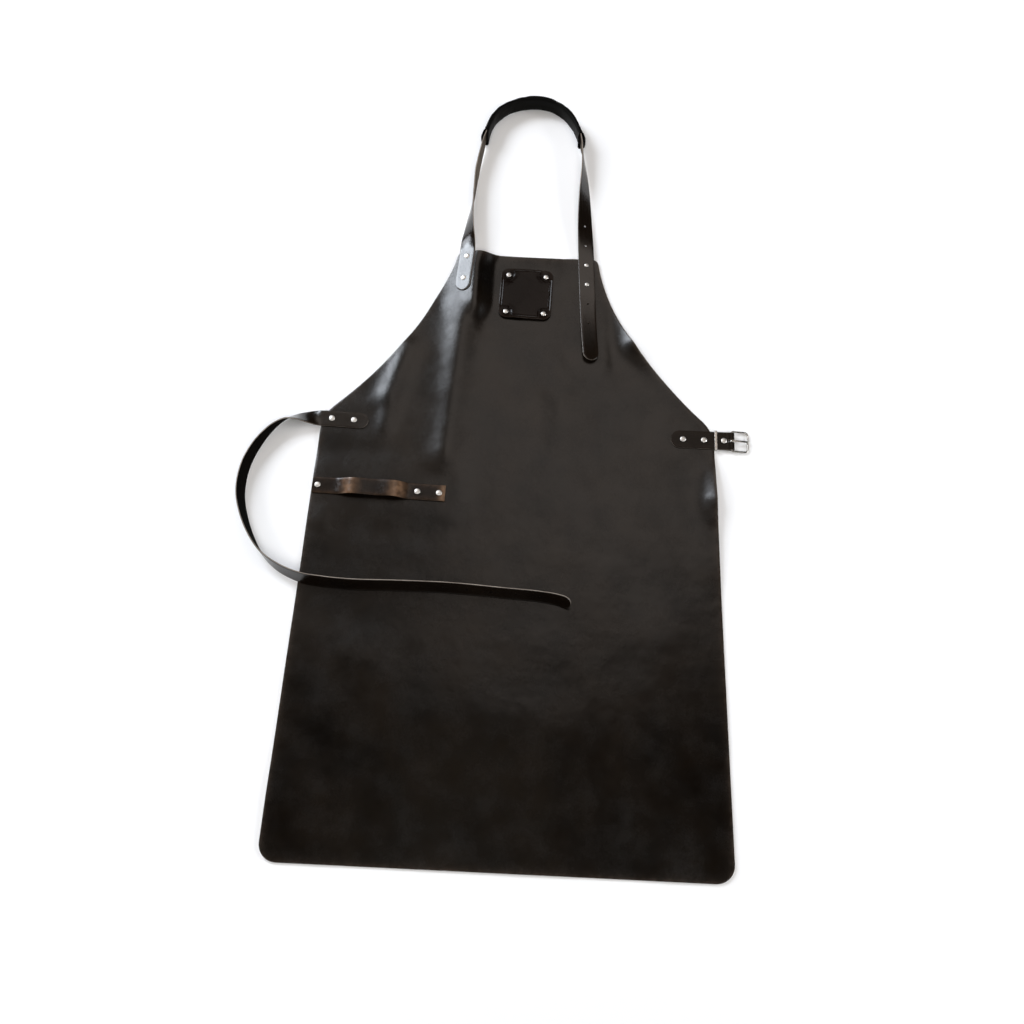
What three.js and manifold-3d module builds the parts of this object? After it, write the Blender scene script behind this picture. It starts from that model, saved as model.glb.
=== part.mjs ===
// A bib apron of dark brown leather, lying on a flat surface with its straps as they fell.
// Millimetres, +Z up. X runs across the apron and Y from the hem to the bib.
// The origin is on the surface, under the middle of the waist line.

import * as THREE from 'three';
import { mergeVertices } from 'three/addons/utils/BufferGeometryUtils.js';
import Module from 'manifold-3d';

const wasm = await Module();
wasm.setup();

const { clamp, degToRad, lerp, smoothstep } = THREE.MathUtils;

// Leather thicknesses and the gap that touching pieces keep
const LEATHER = 2;
const STRAP_THICK = 2.2;
const STRAP_WIDTH = 25;
const GAP = 0.3;

// Rounded ends: places along the curve as shares of its radius, and the blunt tip's half-width
const TIP_PLACES = [0, 0.12, 0.35, 0.65];
const TIP_BLUNT = 0.34;

// Panel outline
const HEM_Y = -650;
const HEM_HALF = 320;
const HEM_CORNER = 26;
const WAIST_HALF = 298;
const SKIRT_TOP_Y = -5;
const BIB_TOP_Y = 293;
const BIB_CORNER = 11;
const ARMHOLE_WAIST = new THREE.Vector2(297, 3);
const ARMHOLE_PULL = new THREE.Vector2(140, 150);
const ARMHOLE_BIB = new THREE.Vector2(118, BIB_TOP_Y - BIB_CORNER);
const PANEL_COLUMNS = 26;
const HEM_CORNER_ROWS = 3;
const SKIRT_ROWS = 24;
const ARMHOLE_ROWS = 13;
const BIB_CORNER_ROWS = 3;

// Rivets: a domed front cap, a post and a thin back cap that lifts the leather off the surface
const POST_RADIUS = 1.6;
const HOLE_RADIUS = 1.95;
const FRONT_CAP = 1.6;
const BACK_CAP = 1.2;
const CAP_RADIUS = 4.5;
const PATCH_CAP_RADIUS = 4;
const BOLT_CAP_RADIUS = 3.4;
const BACK_CAP_TAPER = 0.8;
const RIVET_SIDES = 10;
const DOME_STEPS = 3;
const PUNCH_LENGTH = 10;
const CAP_ROOM = GAP + BACK_CAP + GAP;

// Neck strap and its pad
const NECK_TILT = degToRad(18);
const NECK_LEFT_FIRST_HOLE = 20.7;
const NECK_LEFT_PITCH = 39.5;
const NECK_LEFT_HOLES = 3;
const NECK_TAIL_FIRST_HOLE = 64.7;
const NECK_TAIL_PITCH = 35.3;
const NECK_TAIL_HOLES = 6;
const NECK_TAIL_BOLTS = [2, 3];
const NECK_STEP = 18;
const PAD_HEIGHT = 30;
const PAD_THICK = 9;
const PAD_WALL_UNDER_STRAP = 2.2;
const PAD_SLOT_ROOM = 0.9;
const PAD_FROM_Y = 500;
const PAD_SIDES = 10;
const PAD_SQUARENESS = 0.55;
const PAD_STEP = 17;

// Patch
const PATCH_X = 3.8;
const PATCH_Y = 224;
const PATCH_WIDTH = 83;
const PATCH_LENGTH = 88;
const PATCH_CORNER = 13;
const PATCH_TURN = degToRad(-1.6);
const PATCH_RIVET_X = 29.8;
const PATCH_RIVET_Y = 32.9;
const PATCH_CORNER_STEPS = 5;

// Waist strap
const WAIST_RIVETS_FROM_END = [21.4, 55.2];
const WAIST_TAIL_FIRST_HOLE = 46;
const WAIST_TAIL_PITCH = 35;
const WAIST_TAIL_HOLES = 5;
const WAIST_STEP = 16;

// Towel strap
const TOWEL_X = -202;
const TOWEL_Y = -115;
const TOWEL_RIVETS_FROM_END = [8, 161, 193.5];
const TOWEL_STEP = 7;

// Buckle tab, with its two layers folded round the heel bar
const TAB_Y = -13.2;
const TAB_WIDTH = 28;
const TAB_START_X = 233.4;
const TAB_SEAT_X = 266;
const TAB_LOWER_START_X = 299;
const TAB_SPREAD_X = 318;
const TAB_SPREAD_SHARES = [0.33, 0.67];
const TAB_RIVETS_X = [251.6, 283.3, 313.5];
const TAB_SLOT_X = 319.4;
const TAB_SLOT_WIDTH = 4.6;
const TAB_SLOT_HEIGHT = 17;
const TAB_FOLD_STEPS = 8;

// Keeper, buckle frame and prong
const KEEPER_X = 301.3;
const KEEPER_LENGTH = 4;
const KEEPER_WALL = 1.2;
const KEEPER_SIDE_ROOM = 0.6;
const KEEPER_FACE_ROOM = 0.4;
const KEEPER_CORNER = 1.6;
const KEEPER_INNER_CORNER = 0.5;
const KEEPER_CORNER_STEPS = 3;
const BAR_X = 325.9;
const WIRE_RADIUS = 1.5;
const WIRE_SIDES = 8;
const FRAME_REACH = 24.3;
const FRAME_HALF_WIDTH = 16;
const FRAME_HEEL_CORNER = 1.8;
const FRAME_FAR_CORNER = 5;
const FRAME_CORNER_STEPS = 4;
const FRAME_FLOOR_ROOM = 0.05;
const PRONG_WIDTH = 2.6;
const PRONG_RING = 3.2;
const PRONG_RING_FROM = 70;
const PRONG_RING_STEPS = 10;
const PRONG_ARCH_X = 9.72;
const PRONG_ARCH = 0.4;
const PRONG_THICK = 2.1;
const PRONG_THICK_AT_BAR = 1.9;
const PRONG_TIP_THICK = 1;

const UP = new THREE.Vector3(0, 0, 1);

// Folds in the panel: soft ridges between two points, with the rise at each end and the spread
const FOLDS = [
  { fromX: -97, fromY: 198, toX: -110, toY: -70, fromRise: 16, toRise: 3, spread: 30 },
  { fromX: -165, fromY: 140, toX: -225, toY: 55, fromRise: 6, toRise: 6, spread: 24 },
  { fromX: -303, fromY: -150, toX: -309, toY: -205, fromRise: 4, toRise: 3, spread: 22 },
  { fromX: 150, fromY: 150, toX: 205, toY: 78, fromRise: 5, toRise: 5, spread: 24 },
  { fromX: 290, fromY: -60, toX: 303, toY: -175, fromRise: 5, toRise: 4, spread: 22 },
  { fromX: -262, fromY: -368, toX: -235, toY: -380, fromRise: 3, toRise: 2, spread: 16 },
  { fromX: -200, fromY: -430, toX: 130, toY: -470, fromRise: 3, toRise: 2, spread: 70 },
  { fromX: -290, fromY: -560, toX: -60, toY: -585, fromRise: 2.5, toRise: 2, spread: 45 },
  { fromX: 210, fromY: -330, toX: 235, toY: -600, fromRise: 2.5, toRise: 2, spread: 45 },
  { fromX: 60, fromY: 100, toX: 70, toY: -120, fromRise: 2.5, toRise: 2, spread: 40 },
];

// Places where the panel lies flat: under the strap ends, the patch and the laid strap, and at the origin.
// Each is a rectangle with a level, a slope across the apron, a border kept flat and a fade beyond it.
const FLATS = [
  { x: -95.2, y: 250, halfX: 15, halfY: 46, level: 15.5, slope: Math.tan(NECK_TILT), pad: 4, fade: 36 },
  { x: PATCH_X, y: PATCH_Y, halfX: 42, halfY: 45, level: CAP_ROOM, slope: 0, pad: 6, fade: 15 },
  { x: 103, y: 199, halfX: 21, halfY: 94, level: CAP_ROOM, slope: 0, pad: 8, fade: 25 },
  { x: -263, y: -5, halfX: 38, halfY: 14, level: CAP_ROOM, slope: 0, pad: 22, fade: 30 },
  { x: TOWEL_X, y: TOWEL_Y, halfX: 101, halfY: 16, level: CAP_ROOM, slope: 0, pad: 22, fade: 30 },
  { x: TAB_SEAT_X, y: -13, halfX: 34, halfY: 16, level: CAP_ROOM, slope: 0, pad: 22, fade: 30 },
  { x: -105, y: -268, halfX: 205, halfY: 22, level: 0, slope: 0, pad: 20, fade: 30 },
  { x: 0, y: 0, halfX: 24, halfY: 24, level: 0, slope: 0, pad: 8, fade: 40 },
];

function foldRise({ fromX, fromY, toX, toY, fromRise, toRise, spread }, x, y) {
  const runX = toX - fromX;
  const runY = toY - fromY;
  const along = ((x - fromX) * runX + (y - fromY) * runY) / (runX ** 2 + runY ** 2);
  const share = clamp(along, 0, 1);
  const away = Math.hypot(x - fromX - share * runX, y - fromY - share * runY);
  return lerp(fromRise, toRise, share) * Math.exp(-((away / spread) ** 2));
}

// Height of the panel's back above the surface
function panelBack(x, y) {
  let height = 0;
  for (const fold of FOLDS) {
    height += foldRise(fold, x, y);
  }
  for (const flat of FLATS) {
    const outsideX = Math.abs(x - flat.x) - flat.halfX;
    const outsideY = Math.abs(y - flat.y) - flat.halfY;
    const hold = 1 - smoothstep(Math.max(outsideX, outsideY) - flat.pad, 0, flat.fade);
    height = lerp(height, flat.level + flat.slope * (x - flat.x), hold);
  }
  return height;
}

function panelFace(x, y) {
  return panelBack(x, y) + LEATHER;
}

// Height of the middle of a strap that lies on the panel
function seatOnPanel(x, y, tilt = 0) {
  return panelFace(x, y) + (GAP + STRAP_THICK / 2) / Math.cos(tilt);
}

// Height of the middle of a strap whose lower edge is over something, at a twist in degrees
function seatOnEdge(under, turn) {
  const twist = degToRad(turn);
  const drop = (STRAP_WIDTH / 2) * Math.abs(Math.sin(twist));
  return under + GAP + drop + (STRAP_THICK / 2) * Math.abs(Math.cos(twist));
}

// Routes of the straps' middle lines. turn is the twist about the run in degrees:
// at 0 the strap lies with its grain up, and at 90 either way it stands on an edge.
const NECK_LEFT_TURN = -THREE.MathUtils.radToDeg(NECK_TILT);
const IN_PAD = PAD_WALL_UNDER_STRAP + GAP;
const NECK_ROUTE = [
  { x: -97.3, y: 223, z: seatOnPanel(-97.3, 223, NECK_TILT), turn: NECK_LEFT_TURN },
  { x: -96.3, y: 244, z: seatOnPanel(-96.3, 244, NECK_TILT), turn: NECK_LEFT_TURN },
  { x: -93.1, y: 283, z: seatOnPanel(-93.1, 283, NECK_TILT), turn: NECK_LEFT_TURN },
  { x: -91.7, y: 309, z: seatOnPanel(-91.7, 290, NECK_TILT), turn: NECK_LEFT_TURN },
  { x: -91, y: 330, z: 18.5, turn: -34 },
  { x: -90, y: 356, z: 16, turn: -54 },
  { x: -89, y: 395, z: seatOnEdge(0.8, -88), turn: -88 },
  { x: -86, y: 445, z: seatOnEdge(0.5, -98), turn: -98 },
  { x: -79, y: 494, z: seatOnEdge(IN_PAD, -94), turn: -94 },
  { x: -76, y: 510, z: seatOnEdge(IN_PAD, -90), turn: -90 },
  { x: -59.5, y: 555, z: seatOnEdge(IN_PAD, -90), turn: -90 },
  { x: -27, y: 579, z: seatOnEdge(IN_PAD, -90), turn: -90 },
  { x: 4, y: 585, z: seatOnEdge(IN_PAD, -90), turn: -90 },
  { x: 32, y: 580, z: seatOnEdge(IN_PAD, -90), turn: -90 },
  { x: 61, y: 559, z: seatOnEdge(IN_PAD, -90), turn: -90 },
  { x: 80.5, y: 521, z: seatOnEdge(IN_PAD, -90), turn: -90 },
  { x: 85, y: 500, z: seatOnEdge(IN_PAD, -90), turn: -90 },
  { x: 91, y: 457, z: seatOnEdge(0.9, -77), turn: -77 },
  { x: 94, y: 407, z: seatOnEdge(2, -51), turn: -51 },
  { x: 95.2, y: 358, z: seatOnEdge(3, -33), turn: -33 },
  { x: 96.6, y: 320, z: seatOnEdge(3.4, -14), turn: -14 },
  { x: 97.6, y: 294, z: seatOnPanel(97.6, 290), turn: 0 },
  { x: 100, y: 248, z: seatOnPanel(100, 248), turn: 0 },
  { x: 101.2, y: 228, z: seatOnPanel(101.2, 228), turn: 0 },
  { x: 104.1, y: 176, z: seatOnPanel(104.1, 176) + 2.2, turn: -7 },
  { x: 109.5, y: 111, z: seatOnPanel(109.5, 111) + 5.5, turn: -14 },
];

const WAIST_ROUTE = [
  { x: -227, y: -6.1, z: seatOnPanel(-227, -6), turn: 0 },
  { x: -282.2, y: -3.9, z: seatOnPanel(-282, -4), turn: 0 },
  { x: -299.5, y: -4.2, z: seatOnPanel(-299, -4), turn: 0 },
  { x: -318, y: -5, z: seatOnEdge(0.6, 28), turn: 28 },
  { x: -335, y: -6.5, z: seatOnEdge(0.3, 52), turn: 52 },
  { x: -352, y: -11, z: seatOnEdge(0, 70), turn: 70 },
  { x: -371, y: -27, z: seatOnEdge(0, 86), turn: 86 },
  { x: -389.3, y: -54.3, z: seatOnEdge(0, 99), turn: 99 },
  { x: -401, y: -84, z: seatOnEdge(0, 105), turn: 105 },
  { x: -405.3, y: -114, z: seatOnEdge(0, 107), turn: 107 },
  { x: -403.5, y: -140, z: seatOnEdge(0, 107), turn: 107 },
  { x: -394, y: -171, z: seatOnEdge(0, 104), turn: 104 },
  { x: -379.5, y: -200.5, z: seatOnEdge(0, 98), turn: 98 },
  { x: -361.5, y: -225, z: seatOnEdge(0, 89), turn: 89 },
  { x: -336, y: -244.5, z: seatOnEdge(1.4, 77), turn: 77 },
  { x: -303, y: -258, z: seatOnEdge(LEATHER, 70), turn: 70 },
  { x: -271, y: -262.6, z: seatOnEdge(LEATHER, 68), turn: 68 },
  { x: -228, y: -265, z: seatOnEdge(LEATHER, 68), turn: 68 },
  { x: -156, y: -263.8, z: seatOnEdge(LEATHER, 68), turn: 68 },
  { x: -84, y: -263.8, z: seatOnEdge(LEATHER, 68), turn: 68 },
  { x: -12, y: -267.6, z: seatOnEdge(LEATHER, 68), turn: 68 },
  { x: 45, y: -270.8, z: seatOnEdge(LEATHER, 68), turn: 68 },
  { x: 73, y: -275, z: seatOnEdge(LEATHER, 66), turn: 66 },
  { x: 89, y: -281, z: seatOnEdge(LEATHER, 62), turn: 62 },
];

// The towel strap rises in a shallow loop between its first two rivets
const TOWEL_SEAT = seatOnPanel(TOWEL_X, TOWEL_Y);
const TOWEL_ROUTE = [
  { x: -301, y: -112, z: TOWEL_SEAT, turn: 0 },
  { x: -280, y: -112.5, z: TOWEL_SEAT, turn: 0 },
  { x: -270, y: -112.8, z: TOWEL_SEAT, turn: 0 },
  { x: -263, y: -113, z: TOWEL_SEAT + 0.7, turn: 0 },
  { x: -256, y: -113.2, z: TOWEL_SEAT + 3, turn: 0 },
  { x: -243, y: -113.6, z: TOWEL_SEAT + 8.5, turn: 0 },
  { x: -206, y: -114.6, z: TOWEL_SEAT + 7, turn: 0 },
  { x: -176, y: -115.4, z: TOWEL_SEAT + 8.5, turn: 0 },
  { x: -164, y: -115.8, z: TOWEL_SEAT + 3, turn: 0 },
  { x: -158, y: -116, z: TOWEL_SEAT + 0.7, turn: 0 },
  { x: -152, y: -116.1, z: TOWEL_SEAT, turn: 0 },
  { x: -140, y: -116.4, z: TOWEL_SEAT, turn: 0 },
  { x: -102, y: -117.4, z: TOWEL_SEAT, turn: 0 },
];

// Leather and metal finishes
function leather(colour, roughness) {
  return new THREE.MeshStandardMaterial({ color: colour, roughness, metalness: 0 });
}

function nickel() {
  return new THREE.MeshStandardMaterial({ color: 0xb9b7b2, roughness: 0.28, metalness: 1 });
}

// A closed body from rings of points, each turning left as seen from ahead of the run
function loft(rings, closed = false) {
  const sides = rings[0].length;
  const spans = closed ? rings.length : rings.length - 1;
  const positions = rings.flat().flatMap((point) => [point.x, point.y, point.z]);
  const faces = [];
  for (let ring = 0; ring < spans; ring++) {
    const here = ring * sides;
    const next = ((ring + 1) % rings.length) * sides;
    for (let side = 0; side < sides; side++) {
      const after = (side + 1) % sides;
      faces.push(here + side, here + after, next + after);
      faces.push(here + side, next + after, next + side);
    }
  }
  if (!closed) {
    const last = (rings.length - 1) * sides;
    for (let side = 1; side < sides - 1; side++) {
      faces.push(0, side + 1, side);
      faces.push(last, last + side, last + side + 1);
    }
  }
  const geometry = new THREE.BufferGeometry();
  geometry.setAttribute('position', new THREE.Float32BufferAttribute(positions, 3));
  geometry.setIndex(faces);
  return geometry;
}

// Cuts with closed bodies
function solidOf(geometry) {
  const bare = geometry.clone();
  bare.deleteAttribute('normal');
  bare.deleteAttribute('uv');
  const merged = mergeVertices(bare, 1e-4);
  const vertProperties = merged.getAttribute('position').array;
  const triVerts = new Uint32Array(merged.getIndex().array);
  return new wasm.Manifold(new wasm.Mesh({ numProp: 3, vertProperties, triVerts }));
}

function geometryOf(solid) {
  const mesh = solid.getMesh();
  const geometry = new THREE.BufferGeometry();
  geometry.setAttribute('position', new THREE.BufferAttribute(mesh.vertProperties, 3));
  geometry.setIndex(new THREE.BufferAttribute(mesh.triVerts, 1));
  return geometry;
}

function cut(geometry, tools) {
  let solid = solidOf(geometry);
  for (const tool of tools) {
    solid = solid.subtract(solidOf(tool));
  }
  return geometryOf(solid);
}

// A punch for a round hole through leather, along an axis
function punch(middle, axis, radius = HOLE_RADIUS) {
  const tool = new THREE.CylinderGeometry(radius, radius, PUNCH_LENGTH, RIVET_SIDES);
  tool.applyQuaternion(new THREE.Quaternion().setFromUnitVectors(new THREE.Vector3(0, 1, 0), axis));
  return tool.translate(middle.x, middle.y, middle.z);
}

// A strap along a route. at(distance) gives its middle, run, width direction and grain direction there.
function strapOn(route, { roundStart, roundEnd, step }) {
  const points = route.map(({ x, y, z }) => new THREE.Vector3(x, y, z));
  const curve = new THREE.CatmullRomCurve3(points, false, 'centripetal');
  curve.arcLengthDivisions = 100 * route.length;
  const length = curve.getLength();
  const radius = STRAP_WIDTH / 2;

  function at(distance) {
    const share = curve.getUtoTmapping(distance / length);
    const place = share * (route.length - 1);
    const row = Math.min(Math.floor(place), route.length - 2);
    const turn = degToRad(lerp(route[row].turn, route[row + 1].turn, place - row));
    const run = curve.getTangent(share);
    const side = new THREE.Vector3().crossVectors(UP, run).normalize();
    const rise = new THREE.Vector3().crossVectors(run, side);
    const across = side.multiplyScalar(Math.cos(turn)).addScaledVector(rise, Math.sin(turn));
    const grain = new THREE.Vector3().crossVectors(run, across);
    return { middle: curve.getPoint(share), run, across, grain };
  }

  function halfWidth(distance) {
    const fromStart = roundStart ? distance : radius;
    const fromEnd = roundEnd ? length - distance : radius;
    const inset = radius - Math.min(fromStart, fromEnd, radius);
    return Math.max(Math.sqrt(radius ** 2 - inset ** 2), TIP_BLUNT * radius);
  }

  const stations = [];
  for (const place of TIP_PLACES) {
    stations.push(place * radius, length - place * radius);
  }
  const steps = Math.ceil((length - STRAP_WIDTH) / step);
  for (let index = 0; index <= steps; index++) {
    stations.push(lerp(radius, length - radius, index / steps));
  }
  stations.sort((one, other) => one - other);

  const rings = stations.map((distance) => {
    const { middle, across, grain } = at(distance);
    const half = halfWidth(distance);
    const corners = [[1, 1], [-1, 1], [-1, -1], [1, -1]];
    return corners.map(([sideways, upward]) => middle.clone()
      .addScaledVector(across, sideways * half)
      .addScaledVector(grain, upward * STRAP_THICK / 2));
  });
  return { geometry: loft(rings), length, at };
}

// A rivet through a stack of leather, from the stack's back to its face along an axis
function rivetGeometry(back, face, axis, capRadius) {
  const stack = back.distanceTo(face);
  const profile = [
    [0, -GAP - BACK_CAP],
    [BACK_CAP_TAPER * capRadius, -GAP - BACK_CAP],
    [capRadius, -GAP],
    [POST_RADIUS, -GAP],
    [POST_RADIUS, stack + GAP],
    [capRadius, stack + GAP],
  ];
  for (let step = 1; step < DOME_STEPS; step++) {
    const angle = (step / DOME_STEPS) * (Math.PI / 2);
    profile.push([capRadius * Math.cos(angle), stack + GAP + FRONT_CAP * Math.sin(angle)]);
  }
  profile.push([0, stack + GAP + FRONT_CAP]);
  const geometry = new THREE.LatheGeometry(profile.map(([x, y]) => new THREE.Vector2(x, y)), RIVET_SIDES);
  geometry.applyQuaternion(new THREE.Quaternion().setFromUnitVectors(new THREE.Vector3(0, 1, 0), axis));
  return geometry.translate(back.x, back.y, back.z);
}

// Panel: rows of the outline from the hem to the bib, and a sheet that follows the folds
function sideHalf(y) {
  return lerp(HEM_HALF, WAIST_HALF, (y - HEM_Y) / -HEM_Y);
}

function panelRows() {
  const rows = [];
  for (let index = 0; index <= HEM_CORNER_ROWS; index++) {
    const angle = (index / HEM_CORNER_ROWS) * (Math.PI / 2);
    const y = HEM_Y + HEM_CORNER * (1 - Math.cos(angle));
    rows.push({ y, half: sideHalf(y) - HEM_CORNER * (1 - Math.sin(angle)) });
  }
  for (let index = 1; index <= SKIRT_ROWS; index++) {
    const y = lerp(HEM_Y + HEM_CORNER, SKIRT_TOP_Y, index / SKIRT_ROWS);
    rows.push({ y, half: sideHalf(y) });
  }
  const armhole = new THREE.QuadraticBezierCurve(ARMHOLE_WAIST, ARMHOLE_PULL, ARMHOLE_BIB);
  for (const { x, y } of armhole.getPoints(ARMHOLE_ROWS)) {
    rows.push({ y, half: x });
  }
  for (let index = 1; index <= BIB_CORNER_ROWS; index++) {
    const angle = (index / BIB_CORNER_ROWS) * (Math.PI / 2);
    const half = ARMHOLE_BIB.x - BIB_CORNER * (1 - Math.cos(angle));
    rows.push({ y: ARMHOLE_BIB.y + BIB_CORNER * Math.sin(angle), half });
  }
  return rows;
}

function panelGeometry(holes) {
  const rings = panelRows().map(({ y, half }) => {
    const across = [];
    for (let column = 0; column <= PANEL_COLUMNS; column++) {
      across.push(half * ((2 * column) / PANEL_COLUMNS - 1));
    }
    const face = across.map((x) => new THREE.Vector3(x, y, panelFace(x, y)));
    const back = across.map((x) => new THREE.Vector3(x, y, panelBack(x, y)));
    return [...face, ...back.reverse()];
  });
  return cut(sheetLoft(rings), holes);
}

// Like loft, with the two end rings closed by strips between face and back
function sheetLoft(rings) {
  const geometry = loft(rings, false);
  const sides = rings[0].length;
  const last = (rings.length - 1) * sides;
  const faces = Array.from(geometry.getIndex().array).slice(0, (rings.length - 1) * sides * 6);
  for (let column = 0; column < sides / 2 - 1; column++) {
    const below = sides - 1 - column;
    faces.push(column, below, column + 1);
    faces.push(column + 1, below, below - 1);
    faces.push(last + column, last + column + 1, last + below);
    faces.push(last + column + 1, last + below - 1, last + below);
  }
  geometry.setIndex(faces);
  return geometry;
}

// Neck pad: a sleeve with a slot that the neck strap passes through
function padGeometry(strap) {
  let from = 0;
  while (strap.at(from).middle.y < PAD_FROM_Y) {
    from += 1;
  }
  let to = strap.length / 2;
  while (strap.at(to).middle.y > PAD_FROM_Y) {
    to += 1;
  }
  function sleeve(start, end, halfHeight, halfThick, squareness) {
    const steps = Math.ceil((end - start) / PAD_STEP);
    const rings = [];
    for (let index = 0; index <= steps; index++) {
      const { middle, across, grain } = strap.at(lerp(start, end, index / steps));
      const ring = [];
      for (let side = 0; side < PAD_SIDES; side++) {
        const angle = (2 * Math.PI * (side + 0.5)) / PAD_SIDES;
        const high = Math.sign(Math.cos(angle)) * Math.abs(Math.cos(angle)) ** squareness;
        const thick = Math.sign(Math.sin(angle)) * Math.abs(Math.sin(angle)) ** squareness;
        ring.push(middle.clone()
          .addScaledVector(across, halfHeight * high)
          .addScaledVector(grain, halfThick * thick));
      }
      rings.push(ring);
    }
    return loft(rings);
  }
  const slotHalf = STRAP_WIDTH / 2 + PAD_SLOT_ROOM;
  const slotThick = STRAP_THICK / 2 + PAD_SLOT_ROOM;
  const outer = sleeve(from, to, PAD_HEIGHT / 2, PAD_THICK / 2, PAD_SQUARENESS);
  return cut(outer, [sleeve(from - PAD_STEP, to + PAD_STEP, slotHalf, slotThick, PAD_SQUARENESS / 4)]);
}

function roundedRectangle(Outline, halfX, halfY, corner) {
  const outline = new Outline();
  outline.absarc(halfX - corner, halfY - corner, corner, 0, Math.PI / 2);
  outline.absarc(corner - halfX, halfY - corner, corner, Math.PI / 2, Math.PI);
  outline.absarc(corner - halfX, corner - halfY, corner, Math.PI, 1.5 * Math.PI);
  outline.absarc(halfX - corner, corner - halfY, corner, 1.5 * Math.PI, 2 * Math.PI);
  return outline;
}

function extruded(outline, depth, curveSegments) {
  return new THREE.ExtrudeGeometry(outline, { depth, bevelEnabled: false, curveSegments });
}

// Patch: a rounded square
function patchGeometry(holes) {
  const outline = roundedRectangle(THREE.Shape, PATCH_WIDTH / 2, PATCH_LENGTH / 2, PATCH_CORNER);
  const geometry = extruded(outline, LEATHER, PATCH_CORNER_STEPS);
  geometry.rotateZ(PATCH_TURN);
  geometry.translate(PATCH_X, PATCH_Y, panelFace(PATCH_X, PATCH_Y) + GAP);
  return cut(geometry, holes);
}

// Buckle tab: a strip folded round the heel bar, rounded at its sewn end, slotted for the prong
const TAB_UPPER_Z = panelFace(TAB_SEAT_X, TAB_Y) + GAP + LEATHER / 2;
const TAB_LOWER_Z = TAB_UPPER_Z - LEATHER - GAP;
const BAR_Z = (TAB_UPPER_Z + TAB_LOWER_Z) / 2;
const FOLD_RADIUS = WIRE_RADIUS + GAP + LEATHER / 2;

function tabGeometry(holes) {
  const layerHalf = (TAB_UPPER_Z - TAB_LOWER_Z) / 2;
  const radius = TAB_WIDTH / 2;
  const path = [];
  for (const place of [...TIP_PLACES, 1]) {
    const half = Math.max(Math.sqrt(1 - (1 - place) ** 2), TIP_BLUNT) * radius;
    path.push({ x: TAB_START_X + place * radius, z: TAB_UPPER_Z, half, pitch: 0 });
  }
  path.push({ x: TAB_SPREAD_X, z: TAB_UPPER_Z, half: radius, pitch: 0 });
  const spreads = TAB_SPREAD_SHARES.map((share) => ({
    x: lerp(TAB_SPREAD_X, BAR_X, share),
    spread: lerp(layerHalf, FOLD_RADIUS, smoothstep(share, 0, 1)),
  }));
  for (const { x, spread } of spreads) {
    path.push({ x, z: BAR_Z + spread, half: radius, pitch: 0 });
  }
  for (let index = 0; index <= TAB_FOLD_STEPS; index++) {
    const pitch = (index / TAB_FOLD_STEPS) * Math.PI;
    const x = BAR_X + FOLD_RADIUS * Math.sin(pitch);
    path.push({ x, z: BAR_Z + FOLD_RADIUS * Math.cos(pitch), half: radius, pitch });
  }
  for (const { x, spread } of spreads.toReversed()) {
    path.push({ x, z: BAR_Z - spread, half: radius, pitch: Math.PI });
  }
  path.push({ x: TAB_SPREAD_X, z: TAB_LOWER_Z, half: radius, pitch: Math.PI });
  path.push({ x: TAB_LOWER_START_X, z: TAB_LOWER_Z, half: radius, pitch: Math.PI });

  const rings = path.map(({ x, z, half, pitch }) => {
    const middle = new THREE.Vector3(x, TAB_Y, z);
    const grain = new THREE.Vector3(Math.sin(pitch), 0, Math.cos(pitch));
    const corners = [[1, 1], [-1, 1], [-1, -1], [1, -1]];
    return corners.map(([sideways, upward]) => middle.clone()
      .add(new THREE.Vector3(0, sideways * half, 0))
      .addScaledVector(grain, upward * LEATHER / 2));
  });
  const slotLength = 2 * (BAR_X + FOLD_RADIUS - TAB_SLOT_X);
  const slot = new THREE.BoxGeometry(slotLength, TAB_SLOT_WIDTH, TAB_SLOT_HEIGHT);
  slot.translate(TAB_SLOT_X + slotLength / 2, TAB_Y, BAR_Z);
  return cut(loft(rings), [...holes, slot]);
}

// Keeper: a flat metal loop round both layers of the tab
function keeperGeometry() {
  const innerWide = TAB_WIDTH / 2 + KEEPER_SIDE_ROOM;
  const innerHigh = (TAB_UPPER_Z - TAB_LOWER_Z + LEATHER) / 2 + KEEPER_FACE_ROOM;
  const band = roundedRectangle(THREE.Shape, innerWide + KEEPER_WALL, innerHigh + KEEPER_WALL, KEEPER_CORNER);
  band.holes.push(roundedRectangle(THREE.Path, innerWide, innerHigh, KEEPER_INNER_CORNER));
  return extruded(band, KEEPER_LENGTH, KEEPER_CORNER_STEPS).translate(0, 0, -KEEPER_LENGTH / 2);
}

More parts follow.
